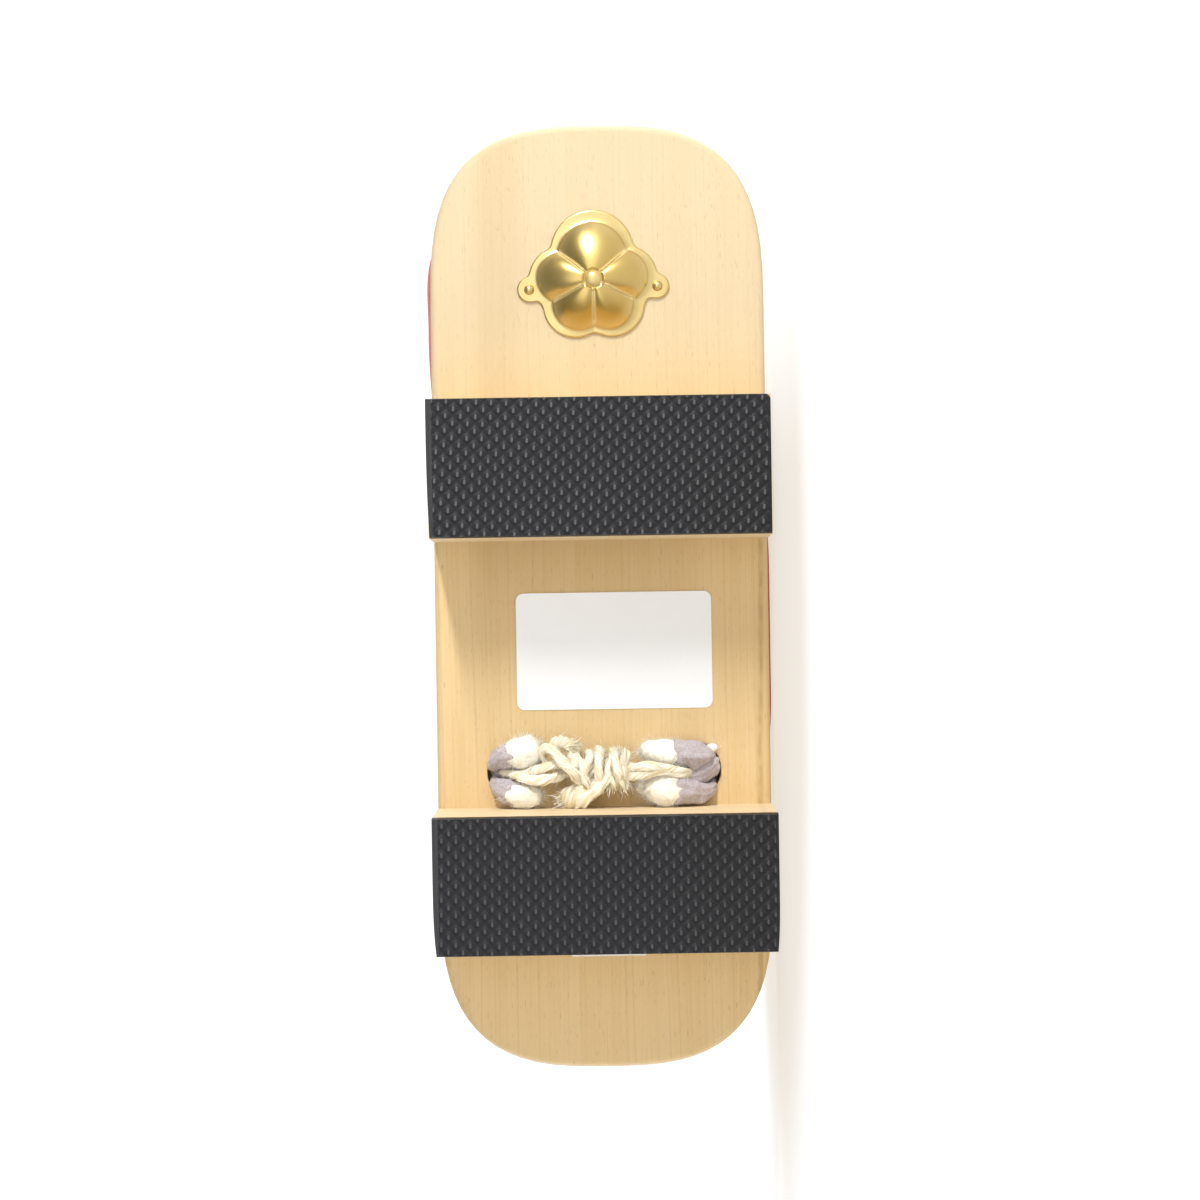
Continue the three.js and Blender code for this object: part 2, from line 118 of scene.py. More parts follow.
def wear(finish, **tones):
    """The finish, with tones linked to its shader's sockets. A height in metres reaches Normal through a
    Bump node."""
    tree = finish.node_tree
    shader = tree.nodes["Principled BSDF"]
    height = tones.pop("height", None)
    for name, tone in tones.items():
        tree.links.new(tone.socket, shader.inputs[name.replace("_", " ").title()])
    if height is not None:
        bump = height.node("ShaderNodeBump", {"Height": height, "Strength": 1.0, "Distance": 1.0})
        tree.links.new(bump.socket, shader.inputs["Normal"])
    return finish


def stretched(place, stretch):
    """A place whose three coordinates are multiplied by those of stretch."""
    return place.node("ShaderNodeVectorMath", {0: place, 1: stretch}, {"operation": "MULTIPLY"})


def split(place, *axes):
    """The coordinates of a place or a direction that have these numbers."""
    return [place.node("ShaderNodeSeparateXYZ", {0: place}, out=axis) for axis in axes]


def noise(place, stretch, detail=2.0, roughness=0.5):
    """Noise around 0.5 at a stretched place."""
    sockets = {"Vector": stretched(place, stretch), "Scale": 1.0, "Detail": detail, "Roughness": roughness}
    return place.node("ShaderNodeTexNoise", sockets)


def line_noise(value, scale, detail=2.0):
    """Noise around 0.5 along one value."""
    sockets = {"W": value, "Scale": scale, "Detail": detail}
    return value.node("ShaderNodeTexNoise", sockets, {"noise_dimensions": "1D"})


def step(value, low, high):
    """0 below low and 1 above high, with a smooth rise between."""
    sockets = {"Value": value, "From Min": low, "From Max": high}
    return value.node("ShaderNodeMapRange", sockets, {"interpolation_type": "SMOOTHSTEP"})


def blend(share, first, second):
    """The colour first where share is 0, and second where it is 1."""
    return share.node("ShaderNodeMix", {0: share, 6: first, 7: second}, {"data_type": "RGBA"}, out=2)


def colour(red, green, blue):
    return (red, green, blue, 1.0)


def shoe_place(tone):
    """Object coordinates turned into the shoe's own millimetres."""
    place = tone.node("ShaderNodeTexCoord", {}, out="Object")
    turn = Matrix(shoe_axes.tolist())
    sockets = {
        "Vector": place,
        "Location": tuple(-shoe_axes @ shoe_origin / MM),
        "Rotation": tuple(turn.to_euler()),
        "Scale": (1 / MM, 1 / MM, 1 / MM),
    }
    return tone.node("ShaderNodeMapping", sockets)


def paulownia():
    """Straight grain: broad bands and fine lines across the board that wander slowly along it, pale fibres,
    short pores, a few flecks, a darker streak near the toe, the toe painted less yellow as a painted wash
    of strong light, painted shade on the underside behind the front tooth, a darker spotted band along the
    left rim, and paler wood on the faces across the grain."""
    finish, tone = new_finish("paulownia", {"Specular IOR Level": 0.3})
    place = shoe_place(tone)
    along, out, up = split(place, 0, 1, 2)
    ring = out + 0.12 * up + 7.0 * noise(place, (0.004, 0.03, 0.03), 1.0)
    band = step(line_noise(ring, 0.16, 1.0), 0.35, 0.65)
    line = step(line_noise(ring, 1.1, 3.0), 0.52, 0.74)
    fibre = noise(place, (0.035, 3.2, 3.2), 3.0)
    pore = step(noise(place, (0.4, 5.0, 5.0), 1.0), 0.66, 0.76)
    fleck = step(noise(place, (0.3, 1.6, 1.6), 0.0), 0.80, 0.84)
    cloud = noise(place, (0.02, 0.05, 0.05), 2.0)
    pale = blend(band, colour(0.645, 0.472, 0.245), colour(0.615, 0.44, 0.215))
    toned = blend(0.6 * cloud, pale, colour(0.585, 0.41, 0.195))
    lined = blend(0.26 * line, toned, colour(0.46, 0.29, 0.125))
    fibred = blend(step(fibre, 0.3, 0.75) * 0.28, lined, colour(0.72, 0.555, 0.32))
    pored = blend(0.42 * pore, fibred, colour(0.40, 0.245, 0.105))
    flecked = blend(0.4 * fleck, pored, colour(0.30, 0.17, 0.075))
    # Painted light: towards the toe the wood is painted less yellow, standing for the washed-out look of
    # its strong light.
    toe_painted_wash = blend(0.55 * step(along, 34.0, 74.0), flecked, colour(0.53, 0.463, 0.33))
    streak = 1 - step(abs(out + 8.0 * noise(place, (0.02, 0.1, 0.0), 2.0) + 21.0), 1.0, 9.0)
    streaked = blend(0.3 * streak * step(along, 40.0, 50.0), toe_painted_wash, colour(0.453, 0.327, 0.167))
    below = 1 - step(up, UNDERSIDE + 1.0, UNDERSIDE + 4.0)
    # Painted shade: on the underside behind the front tooth the wood is darkened where the tooth's shadow
    # falls, fading out towards the left, and not on the lit strip along the right edge.
    corner = below * step(along, -24.0, 12.0) * (1 - step(along, 14.7, 15.1))
    corner = corner * step(out, -37.0, -28.0) * (1 - step(out, 10.0, 34.0))
    shaded = blend(0.3 * corner, streaked, colour(0.36, 0.235, 0.09))
    # A darker band with dark spots along the left rim of the underside, back from the front tooth.
    rim = abs(out + 0.8 * noise(place, (0.06, 0.0, 0.0), 2.0) - 0.017 * along - 40.9)
    spot = step(noise(place, (0.16, 0.4, 0.0), 3.0), 0.36, 0.62)
    rim_band = below * (1 - step(rim, 0.1, 1.1)) * (1 - step(along, 12.0, 15.0))
    rim_banded = blend((0.28 + 0.3 * spot) * rim_band, shaded, colour(0.33, 0.225, 0.07))
    facing = tone.node("ShaderNodeTexCoord", {}, out="Normal")
    endwise = step(abs(split(facing, 0)[0]), 0.45, 0.85)
    ended = blend(0.65 * endwise, rim_banded, colour(0.78, 0.63, 0.42))
    return wear(
        finish,
        base_color=ended,
        roughness=0.5 + 0.18 * fibre + 0.12 * pore,
        height=0.00003 * fibre - 0.00004 * pore - 0.00002 * line,
    )


# The carved faces are joined into planes, the edges between them rubbed round, and the planes shaded flat.
RUBBED = [
    ("weld", "WELD", {"merge_threshold": 0.001 * MM}),
    ("planes", "DECIMATE", {"decimate_type": "DISSOLVE", "angle_limit": np.radians(0.4)}),
    (
        "edges",
        "BEVEL",
        {"width": 0.4 * MM, "segments": 3, "limit_method": "ANGLE", "angle_limit": np.radians(40)},
    ),
    ("flats", "WEIGHTED_NORMAL", {"weight": 90}),
]
dai = frame["nodes"]["dai"]
dai.data.polygons.foreach_set("use_smooth", [True] * len(dai.data.polygons))
for name, kind, settings in RUBBED:
    modifier = dai.modifiers.new(name, kind)
    for setting, value in settings.items():
        setattr(modifier, setting, value)
dai.data.materials.clear()
dai.data.materials.append(paulownia())


# The two treads: black rubber sheet moulded with rows of small pyramids.
# It is cut to the teeth with a knife, which leaves a slanting edge, and glued under them.
PLATE_HALF = 42.5
HEEL_START = -72.0
HEEL_REACH = 48.0
# Each tread's front and back, and how much the knife took off its back corners on the left and on the
# right, off its whole left edge, and off its front left corner.
TREADS = {
    "front_tread": (49.2, 14.8, 0.1, 0.6, 0.4, 0.9),
    "rear_tread": (-54.1, -88.3, 0.0, 0.2, 0.0, 0.0),
}
CORNER_START = 0.96
# How the studs of each tread repeat: the step (along, out) to the next one in a row, and to the next row
# but one.
STUD_STEPS = {
    "front_tread": ((-0.18, 3.69), (3.57, 0.24)),
    "rear_tread": ((-0.21, 3.57), (3.64, 0.06)),
}
TREAD_TOP = 4.78
TREAD_PROUD = 0.2
# The cut edge, ring by ring: its height, and its insets along and out.
TREAD_CUT = [(1.0, 0.15, 0.0), (1.5, 0.06, 0.0), (2.4, 0.0, 0.0), (TREAD_TOP, 0.0, 0.0)]
FACE_INSET = (0.28, 0.8)
STUD = {"row": 1.8, "deep": 0.42, "ridge": 0.5, "flat": 0.08}
SIDE_STRIP = {"wide": 1.3, "deep": 0.2}
FACE_STEP = 0.24


def plate_half(along):
    """Half the base's width: straight sides, and past the heel's start a superellipse of power 3."""
    past = np.clip((HEEL_START - along) / HEEL_REACH, 0, 1)
    return PLATE_HALF * (1 - past**3) ** (1 / 3)


def stud_depth(along, out, steps):
    """How deep a point lies below the studs' flat tops. The studs are small hipped roofs on a slanting
    lattice: the depth grows evenly with the distance from the ridge, across it and past its ends."""
    (row_along, row_out), (next_along, next_out) = steps
    size = row_out * next_along - row_along * next_out
    aside = (out * next_along - along * next_out) / size
    ahead = (along * row_out - out * row_along) / size
    first = aside + ahead - np.round(aside + ahead)
    second = aside - ahead - np.round(aside - ahead)
    across = np.abs(first + second)
    past = np.clip(STUD["row"] * np.abs(first - second) - STUD["ridge"], 0, None)
    far = across + past / (STUD["row"] - STUD["ridge"])
    return STUD["deep"] * np.clip((far - STUD["flat"]) / (1 - STUD["flat"]), 0, 1)


def quads(index, beside):
    """Four-cornered faces between the rows of an array of point numbers and of those beside them."""
    return np.stack((index[:-1], beside[:-1], beside[1:], index[1:]), -1).reshape(-1, 4).tolist()


def tread_part(front, back, left_trim, right_trim, left_cut, corner_cut, steps):
    """A closed slab: the grid of the worn face, rings round its rim for the cut edge, and a flat back."""
    rows = int((front - back) / FACE_STEP)
    columns = int(2 * PLATE_HALF / FACE_STEP)
    lengthwise = np.linspace(0, 1, rows)[:, None] * np.ones(columns)
    crosswise = np.ones(rows)[:, None] * np.linspace(-1, 1, columns)

    def level(share, side, height, inset_along, inset_out):
        along = back + inset_along + share * (front - back - 2 * inset_along)
        rounded = np.clip((share - CORNER_START) / (1 - CORNER_START), 0, 1) ** 2
        trim = np.where(side > 0, left_trim, right_trim) * (1 - share) ** 3
        trim = trim + np.where(side > 0, left_cut + corner_cut * rounded, 0)
        out = side * (plate_half(along) + TREAD_PROUD - inset_out - trim)
        return np.stack((along, out, np.broadcast_to(height, along.shape)), -1)

    face = level(lengthwise, crosswise, 0.0, *FACE_INSET)
    face[..., 2] = stud_depth(face[..., 0], face[..., 1], steps)
    strip = face[..., 1] < SIDE_STRIP["wide"] - PLATE_HALF
    face[strip, 2] = SIDE_STRIP["deep"]
    index = np.arange(rows * columns).reshape(rows, columns)
    rim = np.concatenate((index[0, :-1], index[:-1, -1], index[-1, :0:-1], index[:0:-1, 0]))
    at_rim = lengthwise.ravel()[rim], crosswise.ravel()[rim]
    rings = [level(*at_rim, *row) for row in TREAD_CUT]
    numbers = rows * columns + np.arange(len(rings) * len(rim)).reshape(len(rings), -1)
    skirt = np.vstack((rim, numbers))
    return {
        "points": np.vstack((face.reshape(-1, 3), *rings)),
        "faces": quads(index[:, :-1], index[:, 1:])
        + quads(skirt, np.roll(skirt, -1, 1))
        + [numbers[-1].tolist()],
    }


def outwards(part):
    """The part's faces, turned round if the volume that they enclose comes out negative."""
    points = part["points"]
    fans = [(face[0], face[i], face[i + 1]) for face in part["faces"] for i in range(1, len(face) - 1)]
    first, second, third = points[np.array(fans)].transpose(1, 0, 2)
    inside_out = np.einsum("ij,ij->", first, np.cross(second, third)) < 0
    return [face[::-1] for face in part["faces"]] if inside_out else part["faces"]


def make_piece(name, parts, finishes, sharp=180.0):
    """One object from closed parts. Each part has points in shoe millimetres and faces, and may have
    straight, its points before it was bent, and finish, the number of each face's material. Edges over
    sharp degrees stay crisp."""
    faces, numbers, start = [], [], 0
    for part in parts:
        turned = outwards(part)
        faces += [[corner + start for corner in face] for face in turned]
        numbers += list(part.get("finish", [0] * len(turned)))
        start += len(part["points"])
    mesh = bpy.data.meshes.new(name)
    mesh.from_pydata(lay(np.vstack([part["points"] for part in parts])).tolist(), [], faces)
    mesh.polygons.foreach_set("use_smooth", [True] * len(faces))
    mesh.polygons.foreach_set("material_index", numbers)
    straight = np.vstack([part.get("straight", part["points"]) for part in parts])
    mesh.attributes.new("straight", "FLOAT_VECTOR", "POINT")
    mesh.attributes["straight"].data.foreach_set("vector", straight.astype(np.float32).ravel())
    if sharp < 180.0:
        mesh.set_sharp_from_angle(angle=np.radians(sharp))
    for finish in finishes:
        mesh.materials.append(finish)
    mesh.update()
    piece = bpy.data.objects.new(name, mesh)
    bpy.context.scene.collection.objects.link(piece)
    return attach(piece, "root")


def tread_rubber():
    """Dark rubber with a fine dull grain and dusty patches. The studs' flat tops are grey, partly wear and
    partly painted highlight, more on the front tread; the flat strip along the right edge, where the knife
    cut it, is grey, partly cut rubber and partly painted light on the side that faces the lamp."""
    finish, tone = new_finish("tread_rubber", {"Specular IOR Level": 0.3})
    place = shoe_place(tone)
    along, out, up = split(place, 0, 1, 2)
    # Painted highlight with wear: the studs' flat tops are grey, more on the front tread.
    top = (1 - step(up, 0.005, 0.06)) * (0.6 + 0.4 * step(along, -40.0, 0.0))
    # Painted light with cut rubber: the flat strip along the right edge, which faces the lamp, is grey.
    cut = step(0 - out, 41.1, 41.3)
    speck = noise(place, (3.0, 3.0, 3.0), 3.0)
    patch = noise(place, (0.06, 0.06, 0.06), 2.0)
    dusty = blend(0.5 * patch, colour(0.0085, 0.0087, 0.0106), colour(0.0145, 0.0148, 0.0172))
    worn = blend(top * (0.55 + 0.5 * patch), dusty, colour(0.095, 0.096, 0.101))
    cut_strip_lit = blend(0.8 * cut, worn, colour(0.036, 0.036, 0.038))
    return wear(
        finish,
        base_color=cut_strip_lit,
        roughness=0.42 + 0.16 * speck + 0.06 * patch,
        height=0.00003 * speck,
    )


rubber = tread_rubber()
for tread, cut in TREADS.items():
    slab = make_piece(tread + "_rubber", [tread_part(*cut, STUD_STEPS[tread])], [rubber], sharp=50.0)
    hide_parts(tread)


# The hanao: the padded thong strap, two arms sewn from red crepe above and lilac crepe below, stuffed
# round. A loop of the red crepe holds it at the crown and goes down through the toe hole. Both ends go down
# through the rear holes.
# Each row: the middle (along, out, up from the foot surface), the wide and the thick size, and the degrees
# by which the outer edge dips.
STRAP_END = [(-44.6, 23, -0.6, 10, 8.6, 0), (-44.4, 23, -7, 10, 9.5, 0), (-44.4, 23, -14.4, 9.6, 9.6, 0)]
LEFT_ARM = [
    (79, 14, 23.5, 17.5, 9, 15),
    (63, 26.5, 20.5, 19.5, 9.5, 25),
    (40, 33.4, 15, 20.5, 9.5, 36),
    (14, 35.9, 11.5, 20.5, 9.5, 40),
    (-14, 36.2, 10.5, 20, 9.5, 40),
    (-37, 35.8, 10, 18.5, 9.5, 36),
    (-52.5, 32.5, 9.6, 15, 9.5, 24),
    (-49, 25.4, 8.4, 12, 8.4, 8),
    *STRAP_END,
]
CROWN = [(84, 0, 23, 16, 9, 15)]
RIGHT_ARM = [
    (90, 13, 21.5, 17.5, 9, 12),
    (94, 27, 16.5, 19, 9.5, 26),
    (88, 36.8, 12.2, 20.5, 9.5, 36),
    (70, 38.5, 10.8, 20.5, 9.5, 40),
    (42, 37, 11, 20.5, 9.5, 40),
    (4, 32.6, 11.2, 20, 9.5, 38),
    (-26, 31.4, 10.6, 18, 9.5, 34),
    (-46, 28.4, 9.2, 15, 9.5, 20),
    (-48.4, 24.8, 8, 12, 8.4, 6),
    *STRAP_END,
]
# Soft creases: the row that each crosses, its place round the section in degrees (0 is the outer edge, 90
# the top, 180 the inner edge), how far it spreads round, its half width along the strap and its depth.
STRAP_CREASES = [
    (2.6, 150, 70, 1.6, 0.9),
    (3.0, 190, 60, 1.3, 0.8),
    (3.45, 175, 60, 1.8, 0.9),
    (4.1, 160, 50, 2.2, 0.5),
    (7.3, 150, 45, 2.6, 0.35),
    (9.2, 170, 60, 2.2, 0.5),
    (10.0, 185, 60, 1.6, 0.7),
    (10.45, 150, 60, 1.5, 0.7),
    (11.55, 160, 60, 1.5, 0.7),
    (12.4, 180, 70, 1.5, 0.9),
    (13.1, 170, 70, 1.8, 1.0),
    (13.7, 185, 60, 1.7, 0.8),
    (14.4, 165, 50, 2.4, 0.5),
    (17.2, 155, 45, 2.8, 0.35),
    (19.4, 165, 55, 2.0, 0.6),
    (20.0, 190, 60, 1.4, 0.8),
    (20.5, 160, 70, 1.6, 0.9),
]
STRAP_AROUND = 80
STEPS_PER_ROW = 18
LOOP_AROUND = 64
LOOP_STEPS_PER_ROW = 14
SEAM_TURN = 28.0
SEAM = {"deep": 0.4, "wide": 5.0}
TOE_POST = [
    (81, 0, -14.4, 7.5, 6.5, 0),
    (81.2, 0, -4, 7.5, 6.5, 0),
    (82.2, 0, 8, 8.5, 6, 0),
    (84, 0, 21, 9.5, 6, 0),
]
COLLAR = [
    (84, 6, 23, 15, 8, 15),
    (84, 5, 23, 19, 11.8, 15),
    (84, 0, 23, 20, 12.6, 15),
    (84, -5, 23, 19, 11.8, 15),
    (84, -6, 23, 15, 8, 15),
]


def smooth_path(knots, at):
    """Points of a centripetal Catmull-Rom curve at the parameters at, one unit to a span: a cubic between
    two knots, whose end slopes weigh the chords beside them by the square roots of their lengths."""
    knots = np.asarray(knots, float)
    ends = np.vstack((2 * knots[0] - knots[1], knots, 2 * knots[-1] - knots[-2]))
    span = np.minimum(at.astype(int), len(knots) - 2)
    before, here, there, after = (ends[span + i] for i in range(4))

    def root(first, second):
        return np.sqrt(np.linalg.norm(second - first, axis=1, keepdims=True))

    back, mid, ahead = root(before, here), root(here, there), root(there, after)
    leave = ((here - before) / back - (there - before) / (back + mid) + (there - here) / mid) * mid
    arrive = ((there - here) / mid - (after - here) / (mid + ahead) + (after - there) / ahead) * mid
    w = (at - span)[:, None]
    start = (2 * w**3 - 3 * w**2 + 1) * here + (w**3 - 2 * w**2 + w) * leave
    return start + (3 * w**2 - 2 * w**3) * there + (w**3 - w**2) * arrive


def unit(ways):
    """Rows of ways, each made 1 long."""
    return ways / np.linalg.norm(ways, axis=1, keepdims=True)


def full_turn(count):
    """So many even turns round a circle."""
    return np.linspace(0, 2 * np.pi, count, endpoint=False)


def carried(path, wide_way, start=0):
    """The path's wide and up directions: wide_way at the point start, then turned no more than the path
    turns, both ways from there, and up square to it and to the path."""
    ahead = unit(np.gradient(path, axis=0))
    wide = np.zeros_like(path)
    for steps in (range(start, len(path)), range(start - 1, -1, -1)):
        way = np.asarray(wide_way, float) if steps.step == 1 else wide[start]
        for i in steps:
            way = way - ahead[i] * (way @ ahead[i])
            way = way / np.linalg.norm(way)
            wide[i] = way
    return wide, np.cross(ahead, wide)


def run_of(path):
    """The length along a path at each of its points."""
    return np.concatenate(([0], np.cumsum(np.linalg.norm(np.diff(path, axis=0), axis=1))))


def oval_rings(rows, wide_way, around, per_row, start_row=0):
    """Oval sections along a path over the foot surface, through rows like those of the strap. Returns where
    each section lies between the rows, the path, the turned wide and up ways, the half sizes, and the turns
    round a section."""
    rows = np.array(rows, float)
    at = np.linspace(0, len(rows) - 1, (len(rows) - 1) * per_row + 1)
    path = smooth_path(rows[:, :3] + (0, 0, HEIGHT), at)
    wide, up = carried(path, wide_way, start_row * per_row)
    half_wide, half_thick, dip = (np.interp(at, np.arange(len(rows)), rows[:, i]) for i in (3, 4, 5))
    dip = np.radians(dip)[:, None]
    dipped = np.cos(dip) * wide - np.sin(dip) * up
    raised = np.sin(dip) * wide + np.cos(dip) * up
    return at, path, dipped, raised, half_wide / 2, half_thick / 2, full_turn(around)


def sweep(path, wide, up, across, above):
    """Rings on a path: each point is the path plus across times the wide way plus above times the up way.
    Also the same rings on a straight path of that length."""
    rings = path[:, None] + across[..., None] * wide[:, None] + above[..., None] * up[:, None]
    length = np.broadcast_to(run_of(path)[:, None], across.shape)
    return rings, np.stack((length, across, above), -1)


def tube_part(rings, straight, finish=None):
    """A closed tube: quads between neighbouring rings, and a fan from each end ring to its middle. finish
    gives the material of each column of quads."""
    count, around = rings.shape[:2]
    index = np.arange(count * around).reshape(count, around)
    beside = np.roll(index, -1, 1)
    poles = [np.full(around, count * around + i) for i in range(2)]
    caps = np.vstack(
        (
            np.stack((poles[0], beside[0], index[0]), -1),
            np.stack((poles[1], index[-1], beside[-1]), -1),
        )
    )
    columns = np.zeros(around, int) if finish is None else finish
    return {
        "points": np.vstack((rings.reshape(-1, 3), rings[[0, -1]].mean(1))),
        "straight": np.vstack((straight.reshape(-1, 3), straight[[0, -1]].mean(1))),
        "faces": quads(index, beside) + caps.tolist(),
        "finish": np.concatenate((np.tile(columns, count - 1), np.tile(columns, 2))).tolist(),
    }


def angle_apart(turn, middle):
    """Degrees between turns and a middle, at most 180."""
    return np.abs((np.degrees(turn) - middle + 180) % 360 - 180)


def strap_part():
    """The oval sweep of both arms, drawn in at the two seams of its lining and along each soft crease."""
    mirrored = [(row[0], -row[1], *row[2:]) for row in RIGHT_ARM]
    rows = LEFT_ARM[::-1] + CROWN + mirrored
    at, path, wide, up, half_wide, half_thick, turn = oval_rings(
        rows, (1, 0, 0), STRAP_AROUND, STEPS_PER_ROW, len(LEFT_ARM)
    )
    length = run_of(path)
    drawn = np.zeros((len(path), STRAP_AROUND))
    for side in (-SEAM_TURN, 180 + SEAM_TURN):
        drawn += SEAM["deep"] * np.exp(-((angle_apart(turn, side) / SEAM["wide"]) ** 2))
    for row, middle, spread, half, deep in STRAP_CREASES:
        trough = np.exp(-(((length - np.interp(row, at, length)) / half) ** 2))
        drawn += deep * trough[:, None] * np.exp(-((angle_apart(turn, middle) / spread) ** 2))
    across = (half_wide[:, None] - drawn) * np.cos(turn)
    above = (half_thick[:, None] - drawn) * np.sin(turn)
    rings, straight = sweep(path, wide, up, across, above)
    middle_turn = np.degrees(turn) + 180 / STRAP_AROUND
    lining = (middle_turn > 180 + SEAM_TURN) & (middle_turn < 360 - SEAM_TURN)
    return tube_part(rings, straight, lining.astype(int))


def loop_part(rows, wide_way, pleats, deep):
    """An oval sweep whose cloth is gathered in pleats: waves round the section, deepest in the middle."""
    at, path, wide, up, half_wide, half_thick, turn = oval_rings(
        rows, wide_way, LOOP_AROUND, LOOP_STEPS_PER_ROW
    )
    wave = deep * (0.5 + 0.5 * np.cos(pleats * turn + 1.3 * np.sin(3 * turn) + 0.5 * at[:, None]))
    across = (half_wide[:, None] - wave) * np.cos(turn)
    above = (half_thick[:, None] - wave) * np.sin(turn)
    return tube_part(*sweep(path, wide, up, across, above))


def straight_place(tone):
    """A point's place before its piece was bent, which make_piece keeps as an attribute."""
    return tone.node("ShaderNodeAttribute", {}, {"attribute_name": "straight"}, out="Vector")


def crepe(name, deep, light):
    """Crepe cloth: a fine pebbled surface of tightly twisted threads, with the weave's small ribs, and a
    soft sheen. The colour goes from deep in the hollows to light on the pebbles, painted shade in the
    hollows, with a slow cloud of tone."""
    constants = {"Sheen Weight": 0.25, "Sheen Roughness": 0.5, "Specular IOR Level": 0.25}
    finish, tone = new_finish(name, constants)
    cloth = straight_place(tone)
    pebble = noise(cloth, (2.2, 1.5, 1.5), 2.0)
    thread = noise(cloth, (7.0, 1.2, 1.2), 1.0)
    shade = noise(cloth, (0.05, 0.08, 0.08), 2.0)
    # Painted shade: the base colour follows the pebbles' bump, deeper in its hollows.
    return wear(
        finish,
        base_color=blend(step(0.7 * pebble + 0.3 * shade, 0.32, 0.68), deep, light),
        roughness=0.72 + 0.2 * thread,
        height=0.00022 * pebble + 0.00006 * thread,
    )


red_crepe = crepe("red_crepe", colour(0.36, 0.035, 0.032), colour(0.56, 0.085, 0.072))
lilac_crepe = crepe("lilac_crepe", colour(0.37, 0.325, 0.345), colour(0.50, 0.45, 0.47))
strap = make_piece("hanao_strap", [strap_part()], [red_crepe, lilac_crepe])
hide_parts("hanao")
toe_loop = make_piece(
    "hanao_toe_loop",
    [loop_part(TOE_POST, (0, 1, 0), 9, 0.35), loop_part(COLLAR, (1, 0, 0), 5, 0.25)],
    [red_crepe],
)
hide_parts("hanao")


# The strap's ends: under the base each end is slit into lilac tongues, folded towards the middle.
# Their white cotton stuffing bulges out of the cut cloth in soft tufts.
# Cloth and cotton keep a gap to the underside, except within reach of a rear hole's middle or deep in it.
REAR_HOLE = {"along": -44.4, "out": 23.0, "reach": 7.0, "deep": 2.5}
CLOTH_GAP = 0.1
FIBRE_GAP = 0.05
TONGUE_STEPS = 60
TONGUE_AROUND = 64
TUFT_STEPS = 48
TUFT_AROUND = 60
# The fibres on a tuft: how many to a square millimetre of half its length times half its width, how long
# and how thick they are, how much their ways spread, and how much they curl.
WOOL = {"many": 68, "long": 1.9, "thick": 0.03, "spread": 0.9, "curl": 0.5}
# A tongue goes through rows of (along, out, down from the underside, girth).
TONGUES = [
    [
        (-42.2, 25.0, -6, 4.4),
        (-41.2, 26.8, -1.5, 3.2),
        (-40.8, 25.9, 2.2, 4.2),
        (-40.7, 23.6, 3.6, 6.7),
        (-40.2, 20.3, 4.2, 6.7),
        (-40.1, 17.6, 4.2, 6.8),
    ],
    [
        (-46.8, 25.2, -6, 4.4),
        (-48.8, 27.2, -1.2, 3.0),
        (-49.7, 26.2, 2.0, 3.8),
        (-50.1, 23.8, 3.6, 5.8),
        (-49.7, 21.0, 4.6, 7.0),
        (-49.2, 17.6, 4.8, 7.6),
    ],
    [
        (-43.0, 26.0, -6, 4.8),
        (-42.9, 27.1, -1.6, 4.6),
        (-43.8, 26.6, 1.0, 5.4),
        (-45.6, 23.4, 2.0, 5.2),
        (-46.0, 20.0, 2.4, 4.0),
    ],
    [
        (-43.0, -25.4, -6, 4.4),
        (-42.6, -27.8, -1.2, 3.2),
        (-41.8, -27.6, 1.6, 4.0),
        (-40.6, -25.8, 3.2, 5.6),
        (-39.8, -23.4, 4.2, 6.4),
        (-39.5, -21.0, 4.2, 6.8),
    ],
    [
        (-46.0, -25.4, -6, 4.4),
        (-46.9, -27.4, -1.2, 3.2),
        (-47.8, -26.8, 1.6, 4.2),
        (-48.9, -24.7, 3.2, 6.2),
        (-49.8, -22.0, 4.2, 6.4),
        (-50.1, -20.6, 4.2, 6.0),
    ],
    [(-44.4, 23.0, -12, 11), (-44.0, 23.2, -9, 13.6), (-44.0, 22.6, -5.0, 12.4), (-43.6, 20.4, -0.6, 7)],
    [(-44.4, -23.0, -12, 11), (-44.4, -23.0, -9, 13.2), (-44.4, -22.4, -4.0, 12.0), (-44.8, -19.8, 0.4, 7)],
]
# A tuft has its middle (along, out, down) and its half sizes the same ways. The large ones come first.
TUFTS = [
    (-40.1, 15.2, 4.4, 3.6, 5.2, 4.1),
    (-49.0, 15.6, 4.8, 4.7, 5.6, 4.5),
    (-39.4, -20.7, 4.4, 4.2, 4.9, 4.1),
    (-50.2, -20.8, 4.2, 3.3, 5.0, 3.9),
    (-48.4, 10.8, 3.0, 2.2, 3.2, 2.6),
    (-39.2, 11.8, 3.2, 2.4, 2.6, 2.8),
    (-37.0, -19.4, 3.4, 2.0, 2.6, 2.6),
    (-39.0, 27.4, 1.0, 1.1, 1.5, 1.0),
]


def waves(points, size, seed, count=24):
    """Smooth noise of about -2 to 2: the sum of cosine waves of random directions and phases, with lengths
    near size, over the root of half their number."""
    draw = np.random.default_rng(seed)
    ways = draw.normal(size=(count, 3))
    lengths = size * draw.uniform(0.7, 1.5, (count, 1))
    ways *= 2 * np.pi / (lengths * np.linalg.norm(ways, axis=1, keepdims=True))
    return np.cos(points @ ways.T + draw.uniform(0, 2 * np.pi, count)).sum(-1) / np.sqrt(count / 2)


def round_rings(path, radius, around, wide_way=(1, 0, 0)):
    """Round sections of the given radii along a path, and the same on a straight path."""
    wide, up = carried(path, wide_way)
    turn = full_turn(around)
    return sweep(path, wide, up, radius[..., None] * np.cos(turn), radius[..., None] * np.sin(turn))


